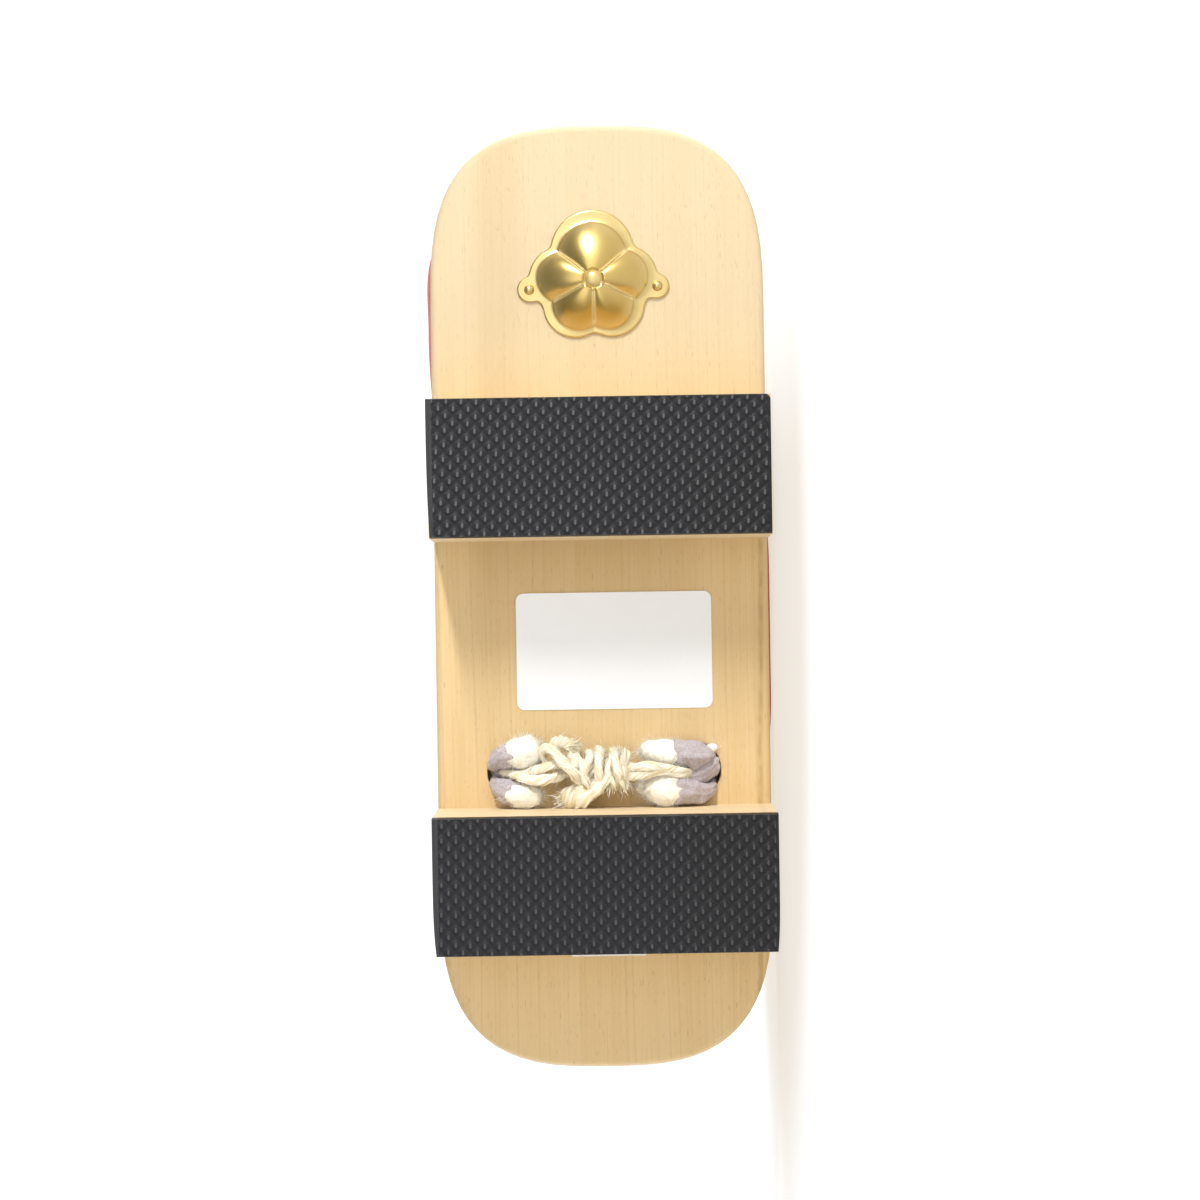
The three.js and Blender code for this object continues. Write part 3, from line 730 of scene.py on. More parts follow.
def under(rows):
    """Rows of (along, out, down from the underside) as points."""
    return np.array(rows, float)[:, :3] * (1, 1, -1) + (0, 0, UNDERSIDE)


def under_plate(rings):
    """Rings kept just clear of the base's underside, except inside the strap holes and deep in them."""
    along, out, up = rings[..., 0], np.abs(rings[..., 1]), rings[..., 2]
    inside = np.hypot(along - REAR_HOLE["along"], out - REAR_HOLE["out"]) < REAR_HOLE["reach"]
    inside |= up > UNDERSIDE + REAR_HOLE["deep"]
    rings[..., 2] = np.where(inside, up, np.minimum(up, UNDERSIDE - CLOTH_GAP))
    return rings


def clear_of_base(part):
    """A part of fibres kept just clear of the base's underside."""
    part["points"][:, 2] = np.minimum(part["points"][:, 2], UNDERSIDE - FIBRE_GAP)
    return part


def tongue_part(rows, seed):
    """A tongue of the lining: a round tube through its rows, with folds along it and softer dents."""
    at = np.linspace(0, len(rows) - 1, TONGUE_STEPS)
    path = smooth_path(under(rows), at)
    girth = np.interp(at, np.arange(len(rows)), np.array(rows)[:, 3])
    rings, straight = round_rings(path, girth / 2, TONGUE_AROUND)
    middle = rings.mean(1, keepdims=True)
    turn = full_turn(TONGUE_AROUND)
    fold = 0.045 * np.sin(4 * turn + seed + 0.04 * at[:, None]) + 0.03 * np.sin(9 * turn + 2 * seed)
    dent = 0.05 * waves(rings, 3.5, seed)
    return tube_part(under_plate(middle + (rings - middle) * (1 + fold + dent)[..., None]), straight)


def tuft_part(tuft, seed):
    """A tuft of cotton: an ellipsoid about its middle, with lumps of three sizes, flattened on the base."""
    middle = under([tuft])[0]
    half = np.array(tuft[3:])
    across = np.linspace(0.02, np.pi - 0.02, TUFT_STEPS)[:, None]
    turn = full_turn(TUFT_AROUND)
    crossing = np.cos(across) * np.ones(TUFT_AROUND)
    ball = np.stack((np.sin(across) * np.cos(turn), crossing, np.sin(across) * np.sin(turn)), -1)
    size = half.max()
    lump = 0
    for number, (high, long) in enumerate(((0.04, 1.3 * size), (0.014, 2.6), (0.006, 0.9))):
        lump = lump + high * waves(size * ball, long, seed + number)
    rings = under_plate(middle + half * ball * (1 + lump)[..., None])
    return tube_part(rings, rings)


# Where a fibre's straight self lies, so that it takes the colour of a strand's top.
FIBRE_TOP = 1.5


def hair_parts(roots, ways, lengths, thick, curl, seed, steps=6):
    """Loose fibres as thin triangular tubes. Each starts at a root, goes its way for its length, bends off
    by curl times the square of the share of its length, and narrows to its tip."""
    draw = np.random.default_rng(seed)
    count = len(roots)
    share = np.linspace(0, 1, steps)[None, :, None]
    bend = draw.normal(size=(count, 1, 3)) * curl
    path = roots[:, None] + lengths[:, None, None] * (ways[:, None] * share + bend * share**2)
    side = unit(np.cross(ways, draw.normal(size=(count, 3))))
    other = np.cross(ways, side)
    corner = full_turn(3)
    spokes = np.cos(corner)[:, None] * side[:, None] + np.sin(corner)[:, None] * other[:, None]
    radius = thick * (1 - 0.75 * share[..., None])
    rings = path[:, :, None] + radius * spokes[:, None]
    index = np.arange(count * steps * 3).reshape(count, steps, 3)
    beside = np.roll(index, -1, 2)
    walls = np.stack((index[:, :-1], beside[:, :-1], beside[:, 1:], index[:, 1:]), -1).reshape(-1, 4)
    ends = np.vstack((index[:, 0, ::-1], index[:, -1]))
    return {
        "points": rings.reshape(-1, 3),
        "straight": np.repeat(draw.uniform(0, 400, (count, 1)) + (0, FIBRE_TOP, 0), 3 * steps, axis=0),
        "faces": walls.tolist() + ends.tolist(),
    }


def fuzz_on(part, count, seed):
    """Fibres standing off a part: roots drawn from its points, ways outwards from its middle with some
    spread."""
    draw = np.random.default_rng(seed)
    points = part["points"]
    roots = points[draw.integers(0, len(points), count)]
    ways = unit(unit(roots - points.mean(0)) + WOOL["spread"] * draw.normal(size=roots.shape))
    lengths = WOOL["long"] * draw.uniform(0.4, 1.0, count)
    return clear_of_base(hair_parts(roots, ways, lengths, WOOL["thick"], WOOL["curl"], seed + 1, 4))


def cotton_finish():
    """White cotton wool: dull, soft, with a fibrous bump, and painted shade in cream where the bump sinks,
    with a slow cloud of cream tone.
    """
    constants = {"Sheen Weight": 0.3, "Specular IOR Level": 0.1, "Roughness": 0.95}
    finish, tone = new_finish("cotton", constants)
    place = shoe_place(tone)
    wisp = noise(place, (0.9, 0.9, 0.9), 4.0, 0.65)
    hollow = noise(place, (0.25, 0.25, 0.25), 2.0)
    # Painted shade: cream where the wisps' bump sinks, mixed with a slow cloud of tone.
    share = step(0.5 * wisp + 0.5 * hollow, 0.32, 0.58)
    tint = blend(share, colour(0.88, 0.84, 0.72), colour(0.945, 0.93, 0.85))
    return wear(finish, base_color=tint, height=0.0004 * wisp)


tongue_parts = [tongue_part(rows, 3 + i) for i, rows in enumerate(TONGUES)]
tongues = make_piece("hanao_tongues", tongue_parts, [lilac_crepe])
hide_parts("hanao")
tufts = [tuft_part(tuft, 20 + 3 * i) for i, tuft in enumerate(TUFTS)]
wool = [
    fuzz_on(tuft, int(WOOL["many"] * half_along * half_out), 60 + 2 * i)
    for i, (tuft, (_, _, _, half_along, half_out, _)) in enumerate(zip(tufts, TUFTS))
]
stuffing = make_piece("hanao_cotton", tufts + wool, [cotton_finish()])
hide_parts("hanao")


# The tie: loosely twisted strands of hemp that pull the strap's two ends together under the base.
# They are laid to both ends, wrapped round themselves and knotted, and the cut ends are frayed.
STRAND = {"bundles": 5, "groove": 0.17, "pitch": 12.0, "tight": 3.0, "around": 36, "step": 0.3}
SWAY = {"wander": 1.1, "swell": 0.13, "rock": 0.4}
WRAP = {"half_turn": 135, "knots": 15, "front": 3.4}
# The loose fibres of a strand: for how many of its points there is one, how long and how thick they are,
# how far they lift and spread, and how much they curl.
LOOSE = {"one_in": 18, "long": 2.6, "thick": 0.055, "lift": 0.35, "spread": 0.25, "curl": 0.25}
FRAY = {"root": 0.8, "bunch": 0.2, "fibre": 0.09, "curl": 0.12}
# A laid strand goes through rows of (along, out, down from the underside, wide, thick).
TIE_STRANDS = [
    [
        (-44.4, -27.0, -3, 1.8, 1.6),
        (-44.5, -25.0, 2.0, 2.2, 1.7),
        (-44.7, -20.5, 6.4, 2.4, 1.8),
        (-43.4, -16.0, 7.8, 2.6, 1.8),
        (-42.4, -12.6, 7.4, 2.8, 1.8),
        (-43.4, -8.5, 5.0, 2.8, 2.0),
    ],
    [
        (-43.8, -26.5, -3, 1.8, 1.5),
        (-44.4, -24.6, 2.4, 2.2, 1.5),
        (-45.4, -21.0, 7.2, 2.6, 1.6),
        (-46.2, -17.8, 8.2, 3.0, 1.8),
        (-45.9, -14.0, 7.4, 3.0, 1.8),
        (-44.8, -9.4, 5.0, 2.6, 1.8),
    ],
    [
        (-46.9, -6.0, 6.0, 2.6, 1.6),
        (-44.3, -7.9, 9.8, 2.8, 1.5),
        (-41.2, -10.8, 10.2, 2.8, 1.5),
        (-38.5, -13.3, 9.2, 2.6, 1.5),
        (-38.2, -15.2, 7.6, 2.4, 1.5),
        (-40.2, -15.7, 6.4, 2.2, 1.5),
        (-42.2, -14.2, 5.6, 2.2, 1.6),
        (-43.4, -11.0, 5.0, 2.4, 1.8),
    ],
    [
        (-42.4, -9.6, 4.4, 2.2, 1.6),
        (-39.6, -12.2, 5.4, 2.4, 1.5),
        (-37.2, -12.4, 5.8, 2.6, 1.4),
        (-36.9, -10.2, 5.0, 3.0, 1.2),
        (-38.2, -8.0, 3.8, 3.2, 1.0),
    ],
    [
        (-43.6, 3.0, 5.0, 2.8, 2.0),
        (-43.4, 6.5, 7.4, 2.8, 2.0),
        (-43.0, 11.5, 9.2, 2.8, 1.9),
        (-43.8, 16.5, 9.0, 2.4, 1.7),
        (-44.5, 20.0, 6.8, 2.0, 1.6),
        (-44.8, 23.5, 0.0, 1.6, 1.4),
    ],
    [
        (-45.0, 3.0, 5.0, 2.4, 1.8),
        (-45.6, 6.0, 7.2, 2.4, 1.7),
        (-45.2, 10.0, 8.6, 2.4, 1.7),
        (-44.3, 14.0, 8.6, 2.2, 1.6),
        (-44.9, 17.5, 8.2, 2.0, 1.5),
        (-45.4, 20.5, 6.0, 1.7, 1.4),
        (-45.4, 23.5, 0.0, 1.5, 1.3),
    ],
    [
        (-43.8, 2.0, 6.0, 2.6, 2.2),
        (-46.4, 0.4, 8.0, 2.8, 2.4),
        (-48.4, -1.8, 8.2, 3.6, 2.8),
        (-50.0, -4.6, 7.4, 4.8, 3.0),
        (-50.7, -7.6, 6.2, 5.5, 2.8),
        (-51.2, -10.0, 5.0, 4.4, 2.0),
        (-51.4, -11.2, 4.4, 2.4, 1.0),
    ],
    [(-44.6, 1.2, 8.0, 1.8, 1.2), (-47.4, 2.2, 8.6, 1.5, 1.0), (-49.2, 2.9, 7.8, 0.4, 0.3)],
    [(-44.4, 3.0, 8.0, 1.8, 1.2), (-47.6, 4.5, 8.6, 1.5, 1.0), (-49.4, 5.3, 7.6, 0.4, 0.3)],
    [(-44.0, -5.6, 8.2, 2.0, 1.4), (-46.8, -4.6, 8.8, 1.7, 1.1), (-48.8, -3.9, 8.0, 0.5, 0.4)],
    [(-43.4, 4.2, 8.2, 1.8, 1.2), (-40.6, 4.9, 8.6, 1.4, 1.0), (-38.4, 5.3, 7.6, 0.4, 0.3)],
]
# The wraps round the middle of the tie: where each crosses its top and its bottom edge, how far it stands
# off the middle line at both, and its width and thickness.
TIE_MIDDLE = {"along": -43.7, "down": 5.1, "from": -8.6, "to": 6.2, "core": 4.6}
WRAPS = [
    (-8.4, -6.2, 3.2, 3.6, 2.3, 2.2),
    (-6.4, -4.2, 3.6, 4.5, 1.5, 1.6),
    (-3.7, -5.4, 4.2, 3.5, 2.4, 2.4),
    (-1.0, -2.2, 5.0, 4.0, 2.5, 2.5),
    (1.9, 0.9, 3.7, 4.4, 2.2, 2.2),
    (2.4, 3.6, 4.4, 3.6, 2.3, 2.3),
    (5.6, 4.9, 3.8, 4.2, 1.9, 1.9),
]
# A frayed end has its root (along, out, down), the way its fibres go, their length and spread, and their
# number.
FRAYS = [
    ((-51.2, -9.8, 5.0), (-0.2, -1.0, 0.1), 2.3, 0.3, 160),
    ((-38.0, -8.6, 4.0), (-0.35, 1.0, 0.1), 3.4, 0.3, 150),
    ((-40.4, 4.2, 7.0), (1.0, -0.3, 0.2), 2.6, 0.22, 40),
    ((-47.0, 5.0, 7.4), (-1.0, 0.2, 0.2), 2.8, 0.2, 40),
    ((-47.0, 1.4, 7.4), (-1.0, -0.2, 0.2), 2.6, 0.2, 40),
]


def even_path(knots, gap):
    """A smooth path through knots with points the same gap apart, and where between the knots each lies."""
    at = np.linspace(0, len(knots) - 1, 40 * len(knots))
    fine = smooth_path(knots, at)
    run = run_of(fine)
    even = np.linspace(0, run[-1], max(8, int(run[-1] / gap)))
    return np.stack([np.interp(even, run, fine[:, i]) for i in range(3)], -1), np.interp(even, run, at)


def strand_part(path, wide, thick, wide_way, seed):
    """A loosely twisted strand: an oval section along a path, grooved between its bundles of fibres, which
    go round it once in a pitch, and slower by the square of its width where it spreads out. The oval rocks,
    swells and thins. On the straight strand the bundles are unwound, and a point's distance from the middle
    is the fibres' top on a bundle and less in a groove."""
    turn = full_turn(STRAND["around"])
    run = run_of(path)[:, None]
    slow = np.minimum(1, STRAND["tight"] / wide) ** 2
    twist = 2 * np.pi * np.cumsum(slow * np.diff(run, axis=0, prepend=0), axis=0) / STRAND["pitch"]
    unwound = turn + twist + SWAY["wander"] * slow * waves(path, 9.0, seed + 2)[:, None]
    bundle = 1 - STRAND["groove"] * (1 - np.abs(np.sin(0.5 * STRAND["bundles"] * unwound)))
    swell = bundle * (1 + SWAY["swell"] * waves(path, 4.0, seed))[:, None]
    across, above = 0.5 * wide * swell * np.cos(turn), 0.5 * thick * swell * np.sin(turn)
    rock = SWAY["rock"] * waves(path, 8.0, seed + 1)[:, None]
    sideways, upwards = carried(path, wide_way)
    rings, _ = sweep(
        path,
        sideways,
        upwards,
        across * np.cos(rock) - above * np.sin(rock),
        across * np.sin(rock) + above * np.cos(rock),
    )
    fibres = FIBRE_TOP * bundle
    length = np.broadcast_to(run + 40 * seed, fibres.shape)
    return tube_part(rings, np.stack((length, fibres * np.cos(unwound), fibres * np.sin(unwound)), -1))


def laid_strand(rows, seed):
    """A strand laid through listed rows, whose width and thickness go evenly from row to row. It starts
    flat
    under the base: its wide way is across its first stretch."""
    path, at = even_path(under(rows), STRAND["step"])
    wide, thick = (np.interp(at, np.arange(len(rows)), np.array(rows)[:, i])[:, None] for i in (3, 4))
    ahead, aside = np.subtract(rows[1], rows[0])[:2]
    return strand_part(path, wide, thick, (-aside, ahead, 0.0), seed)


def wrap_strand(wrap, seed):
    """One wrap: an arc over the front of the tie's middle line, from behind its bottom edge to behind its
    top edge, oval where it stands off further at one of them."""
    top, bottom, off_top, off_bottom, wide, thick = wrap
    spin = np.radians(np.linspace(-WRAP["half_turn"], WRAP["half_turn"], WRAP["knots"]))
    share = 0.5 + 0.5 * np.sin(0.75 * spin) / np.sin(0.75 * spin[-1])
    off = off_bottom + share * (off_top - off_bottom)
    along = TIE_MIDDLE["along"] + off * np.sin(spin)
    wobble = 0.35 * np.sin(2 * spin + seed) + 0.2 * np.sin(4 * spin + 2 * seed)
    out = bottom + share * (top - bottom) + wobble
    down = TIE_MIDDLE["down"] + (WRAP["front"] + 0.5 * np.sin(seed)) * np.cos(spin)
    path, _ = even_path(under(np.stack((along, out, down), -1)), STRAND["step"])
    narrow = np.sin(np.linspace(0.32 * np.pi, 0.68 * np.pi, len(path)))[:, None] ** 2
    return strand_part(path, wide * narrow, thick, (0.0, 1.0, 0.0), seed)


def loose_on(strand, seed):
    """Loose fibres of a strand: they start at points of its rings, go on towards the next ring or back, and
    lift off."""
    draw = np.random.default_rng(seed)
    count = len(strand["points"]) // LOOSE["one_in"]
    rings = strand["points"][: -2].reshape(-1, STRAND["around"], 3)
    ring, place = draw.integers(0, len(rings) - 1, count), draw.integers(0, STRAND["around"], count)
    roots = rings[ring, place]
    onwards = rings[ring + 1, place] - roots
    lift = roots - rings.mean(1)[ring]
    ways = unit(onwards) * draw.choice((-1, 1), (count, 1))
    ways = ways + LOOSE["lift"] * unit(lift) + LOOSE["spread"] * draw.normal(size=ways.shape)
    lengths = LOOSE["long"] * draw.uniform(0.4, 1.0, count)
    return clear_of_base(hair_parts(roots, ways, lengths, LOOSE["thick"], LOOSE["curl"], seed + 1, 5))


def fray_parts(root, way, length, spread, count, seed):
    """A frayed end: fibres from about its root that fan out round its way, with a third as many thick
    bunches of them."""
    draw = np.random.default_rng(seed)
    way = unit(np.array([way]) * (1, 1, -1))
    flat = np.array((1, 1, 0.5))
    parts = []
    for number, thick in ((count // 3, FRAY["bunch"]), (count, FRAY["fibre"])):
        roots = under([root]) + FRAY["root"] * draw.normal(size=(number, 3)) * flat
        ways = unit(way + spread * draw.normal(size=(number, 3)) * flat)
        lengths = length * draw.uniform(0.5, 1.0, number)
        parts.append(clear_of_base(hair_parts(roots, ways, lengths, thick, FRAY["curl"], seed + 1)))
    return parts


def length_of(vector):
    """The length of a vector."""
    return vector.node("ShaderNodeVectorMath", {0: vector}, {"operation": "LENGTH"}, out="Value")


def hemp_finish():
    """Cream bast fibre with a silky gloss: pale streaks along the bundles, and grooves painted
    straw-coloured as painted shade.
    """
    finish, tone = new_finish("hemp", {"Specular IOR Level": 0.4, "Sheen Weight": 0.15})
    strand = straight_place(tone)
    ply = length_of(stretched(strand, (0.0, 1.0, 1.0)))
    # Painted shade: the grooves between the bundles are coloured straw.
    groove = 1 - step(ply, 0.78 * FIBRE_TOP, 0.97 * FIBRE_TOP)
    streak = noise(strand, (0.22, 1.6, 1.6), 4.0, 0.65)
    patch = noise(shoe_place(tone), (0.25, 0.25, 0.25), 2.0)
    tint = blend(step(streak, 0.36, 0.58), colour(0.65, 0.55, 0.29), colour(0.95, 0.93, 0.86))
    grooved = blend(0.75 * groove, tint, colour(0.6, 0.5, 0.25))
    warm = blend(step(patch, 0.5, 0.72) * 0.6, grooved, colour(0.74, 0.675, 0.38))
    return wear(finish, base_color=warm, roughness=0.4 + 0.3 * streak, height=0.0002 * streak)


strands = [laid_strand(rows, 70 + 3 * i) for i, rows in enumerate(TIE_STRANDS)]
strands += [wrap_strand(wrap, 100 + 3 * i) for i, wrap in enumerate(WRAPS)]
core_rows = [
    (TIE_MIDDLE["along"], TIE_MIDDLE[end], TIE_MIDDLE["down"], TIE_MIDDLE["core"], TIE_MIDDLE["core"])
    for end in ("from", "to")
]
strands.append(laid_strand(core_rows, 140))
frays = [part for i, fray in enumerate(FRAYS) for part in fray_parts(*fray, 150 + 2 * i)]
frays += [loose_on(strand, 170 + 2 * i) for i, strand in enumerate(strands)]
tie = make_piece("rear_tie_cord", strands + frays, [hemp_finish()])
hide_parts("rear_tie")


# The maegane: the brass cover over the toe hole, pressed from one thin sheet into a five-petalled flower.
# A flat flange runs round the petals, with an ear at each side for a nail. It is polished and lacquered.
COVER = {"along": 80.3, "out": -0.9, "turn": -0.9, "seat": UNDERSIDE - 0.05, "sheet": 0.7}
# Each petal: the turn of its middle from the toe and half its span, both in degrees, and its reach.
PETALS = [
    (0.0, 49.0, 14.7),
    (82.5, 33.5, 14.1),
    (148.0, 32.0, 13.5),
    (212.0, 32.0, 13.5),
    (277.5, 33.5, 14.1),
]
# Each round lobe of the flange: the turn of its middle, how far out that is, and its reach.
LOBES = [
    (0.0, 7.25, 17.9),
    (85.0, 8.6, 16.4),
    (142.6, 7.7, 16.0),
    (217.4, 7.7, 16.0),
    (275.0, 8.6, 16.4),
]
VALLEY = 11.3
PETAL_FULL = 0.9
DOME = {"high": 5.5, "flat": 2.3, "steep": 0.78}
CREASE = {"low": 0.2, "half": 0.36, "round": 3.2, "steep": 0.85, "wide": 6.0}
BUTTON = {"radius": 2.05, "foot": 5.0, "high": 1.1}
RING = {"inner": 2.2, "outer": 3.05, "reach": 3.15}
EARS = {"out": 16.3, "back": 1.9, "radius": 3.1}
FILLET = 1.5
FOOT = {"high": 0.4, "wide": 0.7}
EDGE = {"wide": 0.4, "round": 0.25}
# How far the brass's painted highlight spreads from each crease, and how much of it the button takes.
CREASE_HIGHLIGHT = {"full": 1.6, "fall": 0.8, "button": 0.55}
COVER_AROUND = 360
COVER_RINGS = {"button": 12, "hollow": 12, "petal": 44, "foot": 14, "flange": 13}
RIM_SEARCH = {"from": 8, "to": 24, "steps": 1600}


def on_cover(ahead, aside):
    """Places on the cover, from its middle to the toe and to the left, in the shoe's own frame: turned
    about the middle and moved there."""
    turn = np.radians(COVER["turn"])
    along = COVER["along"] + ahead * np.cos(turn) - aside * np.sin(turn)
    return along, COVER["out"] + ahead * np.sin(turn) + aside * np.cos(turn)


def petal_at(turn):
    """For each turn from the toe, in degrees: how far it is from its petal's middle as a share of half the
    span, the petal's outline there, and the degrees to the nearest crease."""
    middles, halves, reaches = (np.array(column)[:, None] for column in zip(*PETALS))
    apart = np.abs((turn - middles + 180) % 360 - 180)
    nearest = np.argmin(apart / halves, axis=0)
    pick = nearest, np.arange(len(turn))
    share = np.clip((apart / halves)[pick], 0, 1)
    reach = reaches[nearest, 0]
    swell = np.cos(0.5 * np.pi * share) ** PETAL_FULL
    return share, VALLEY + (reach - VALLEY) * swell, (halves[nearest, 0] - apart[pick])


def rim_at(turn):
    """The cover's outer edge: along each turn, the last radius where a lobe of the flange or an ear still
    covers it. They are joined by a smooth minimum of their distances, which fills the corners between."""
    radius = np.linspace(RIM_SEARCH["from"], RIM_SEARCH["to"], RIM_SEARCH["steps"])[:, None]
    x, y = radius * np.cos(np.radians(turn)), radius * np.sin(np.radians(turn))
    discs = [(-EARS["back"], side * EARS["out"], EARS["radius"]) for side in (1, -1)]
    for middle, far, reach in LOBES:
        way = np.radians(middle)
        discs.append((far * np.cos(way), far * np.sin(way), reach - far))
    covered = np.full(x.shape, 99.0)
    for ahead, aside, size in discs:
        disc = np.hypot(x - ahead, y - aside) - size
        near = np.clip(FILLET - np.abs(covered - disc), 0, None) / FILLET
        covered = np.minimum(covered, disc) - 0.25 * FILLET * near**2
    last = len(radius) - 1 - np.argmax(covered[::-1] < 0, axis=0)
    return radius[last, 0]


def cover_height(radius, outline, share, crease):
    """Height of the pressed face over its flange: a dome that falls to the petals' outline, and round
    across each petal, down to a narrow flat web along each crease. In the middle a round button stands in a
    ring."""
    part = np.clip(radius / outline, 0, 1)
    dome = DOME["high"] * (1 - part ** DOME["flat"]) ** DOME["steep"]
    apart = radius * np.radians(crease)
    half = apart / np.clip(1 - share, 1e-6, None)
    across = np.clip((half - apart) / np.clip(half - CREASE["half"], 0.05, None), 0, 1)
    fullness = (1 - across ** CREASE["round"]) ** CREASE["steep"]
    low = CREASE["low"] * np.clip(half / CREASE["wide"], 0, 1)
    petals = dome * (1 - low * (1 - fullness))
    rise = np.clip((radius - RING["inner"]) / (RING["outer"] - RING["inner"]), 0, 1)
    ringed = BUTTON["foot"] + (petals - BUTTON["foot"]) * np.sin(0.5 * np.pi * rise)
    round_top = np.sqrt(np.clip(1 - (radius / BUTTON["radius"]) ** 2, 0, 1))
    return np.where(radius < BUTTON["radius"], BUTTON["foot"] + BUTTON["high"] * round_top, ringed)


def cover_part():
    """Rings from the middle to the rim for the outer face: round over the button and its hollow, and then
    more and more like the petals' outline. Every third of them comes back, one sheet higher, for the inner
    face. The straight attribute's first number, the share of painted highlight on the brass, is 1 on the
    web of each crease, and less on the button."""
    turn = np.linspace(0, 360, COVER_AROUND, endpoint=False)
    share, outline, crease = petal_at(turn)
    rim = rim_at(turn)
    button = BUTTON["radius"] * np.sin(np.linspace(0.06, 0.5 * np.pi, COVER_RINGS["button"]))
    hollow = np.linspace(BUTTON["radius"] + 0.04, RING["reach"], COVER_RINGS["hollow"])
    slope = np.linspace(0.02, 0.9, COVER_RINGS["petal"])
    petal = np.concatenate((slope, 1 - np.geomspace(0.085, 0.001, COVER_RINGS["foot"])))[:, None]
    flange = np.concatenate((np.linspace(0.04, 0.88, COVER_RINGS["flange"]), (0.93, 0.97, 1.0)))[:, None]
    radius = np.vstack(
        (
            np.concatenate((button, hollow))[:, None] * np.ones(COVER_AROUND),
            RING["reach"] + petal * (outline - RING["reach"]),
            outline + flange * (rim - outline),
        )
    )
    high = cover_height(radius, outline, share, crease)
    foot = FOOT["high"] * np.exp(-np.abs(radius - outline) / FOOT["wide"]) * (radius > RING["reach"])
    edge = EDGE["round"] * np.clip(1 - (rim - radius) / EDGE["wide"], 0, 1) ** 2
    along, out = on_cover(radius * np.cos(np.radians(turn)), radius * np.sin(np.radians(turn)))
    face = np.stack((along, out, COVER["seat"] - COVER["sheet"] - high - foot + edge), -1)
    back = face[::-3].copy()
    back[..., 2] = np.minimum(back[..., 2] + COVER["sheet"], COVER["seat"])
    rings = np.concatenate((face, back))
    web = np.clip(CREASE_HIGHLIGHT["full"] - CREASE_HIGHLIGHT["fall"] * radius * np.radians(crease) / CREASE["half"], 0, 1)
    web = web * (radius > RING["reach"]) * (radius < outline)
    web = web + CREASE_HIGHLIGHT["button"] * (radius < 1.01 * BUTTON["radius"])
    return tube_part(rings, np.concatenate((web, web[::-3]))[..., None] * (1, 0, 0))


def brass_finish():
    """Polished yellow brass under a thin clear coat: fine polishing lines and faint clouds of tarnish. The
    petals are painted darker and warmer than the flange, most of all the two at the back, as painted
    reflection of the wood and the front tooth around them. The creases and the button are painted pale,
    less metallic and rougher, as a painted highlight, as much as the straight attribute's first number
    says."""
    finish, tone = new_finish("brass", {"Coat Roughness": 0.08, "Coat Weight": 0.1})
    place = shoe_place(tone)
    lines = noise(place, (1.2, 9.0, 1.2), 2.0)
    cloud = noise(place, (0.2, 0.2, 0.2), 3.0)
    tint = blend(step(cloud, 0.35, 0.7), colour(0.65, 0.505, 0.225), colour(0.61, 0.46, 0.19))
    along, up = split(place, 0, 2)
    # Painted reflection: the petals darker and warmer than the flange, most of all the two at the back.
    pressed = 1 - step(up, UNDERSIDE - 4.0, UNDERSIDE - 1.2)
    behind = 1 - step(along, COVER["along"] - 7.5, COVER["along"] - 3.5)
    petal_reflection_tint = blend(behind, colour(0.56, 0.4, 0.13), colour(0.47, 0.305, 0.065))
    warm = blend(0.85 * pressed, tint, petal_reflection_tint)
    # Painted highlight: pale, less metallic and rougher on the creases and the button.
    web = split(straight_place(tone), 0)[0]
    crease_highlight_painted = blend(web, warm, colour(0.66, 0.535, 0.25))
    rough = 0.23 + 0.08 * lines + 0.08 * cloud + 0.2 * web
    return wear(finish, base_color=crease_highlight_painted, metallic=1 - 0.6 * web, roughness=rough, height=0.000006 * lines)


brass = brass_finish()
cover = make_piece("maegane_cover", [cover_part()], [brass], sharp=60.0)
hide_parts("maegane")


# The two nails that hold the cover: brass wire with a hammered round head, driven through the ears.
# The head's and the shank's profile: (radius, height off the ear).
NAIL_PROFILE = [(0.0, 1.0), (0.45, 0.95), (0.85, 0.75), (1.15, 0.42), (1.3, 0.08), (1.3, 0.0)]
NAIL_SHANK = [(0.55, 0.0), (0.55, -6.0), (0.0, -7.2)]
NAIL_AROUND = 40


def nail_part(side):
    """The profile turned about the nail's axis, with its two ends as the tube's poles."""
    radius, high = np.array(NAIL_PROFILE[1:] + NAIL_SHANK[:-1], float).T
    turn = full_turn(NAIL_AROUND)
    seat = COVER["seat"] - COVER["sheet"]
    ahead = radius[:, None] * np.cos(turn) - EARS["back"]
    along, out = on_cover(ahead, side * EARS["out"] + radius[:, None] * np.sin(turn))
    rings = np.stack((along, out, np.broadcast_to(seat - high[:, None], along.shape)), -1)
    part = tube_part(rings, 0 * rings)
    part["points"][-2, 2] = seat - NAIL_PROFILE[0][1]
    part["points"][-1, 2] = seat - NAIL_SHANK[-1][1]
    return part


for name, side in (("maegane_nail_left", 1), ("maegane_nail_right", -1)):
    nail = make_piece(name + "_brass", [nail_part(side)], [brass], sharp=70.0)
    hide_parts(name)


# The paper label in the hollow between the teeth, and a small paper sticker behind the rear tooth.
# Both are plain white coated paper, stuck to the wood and left blank.
LABEL = {"along": -13.9, "out": 3.0, "long": 29.7, "wide": 49.7, "corner": 2.0}
STICKER = {"along": -90.3, "out": 0.6, "long": 2.6, "wide": 19.2, "corner": 0.6}
PAPER = {"sheet": 0.16, "gap": 0.03, "lift": 0.12, "lift_from": 0.85, "wave": 18.0}
CORNER_STEPS = 10


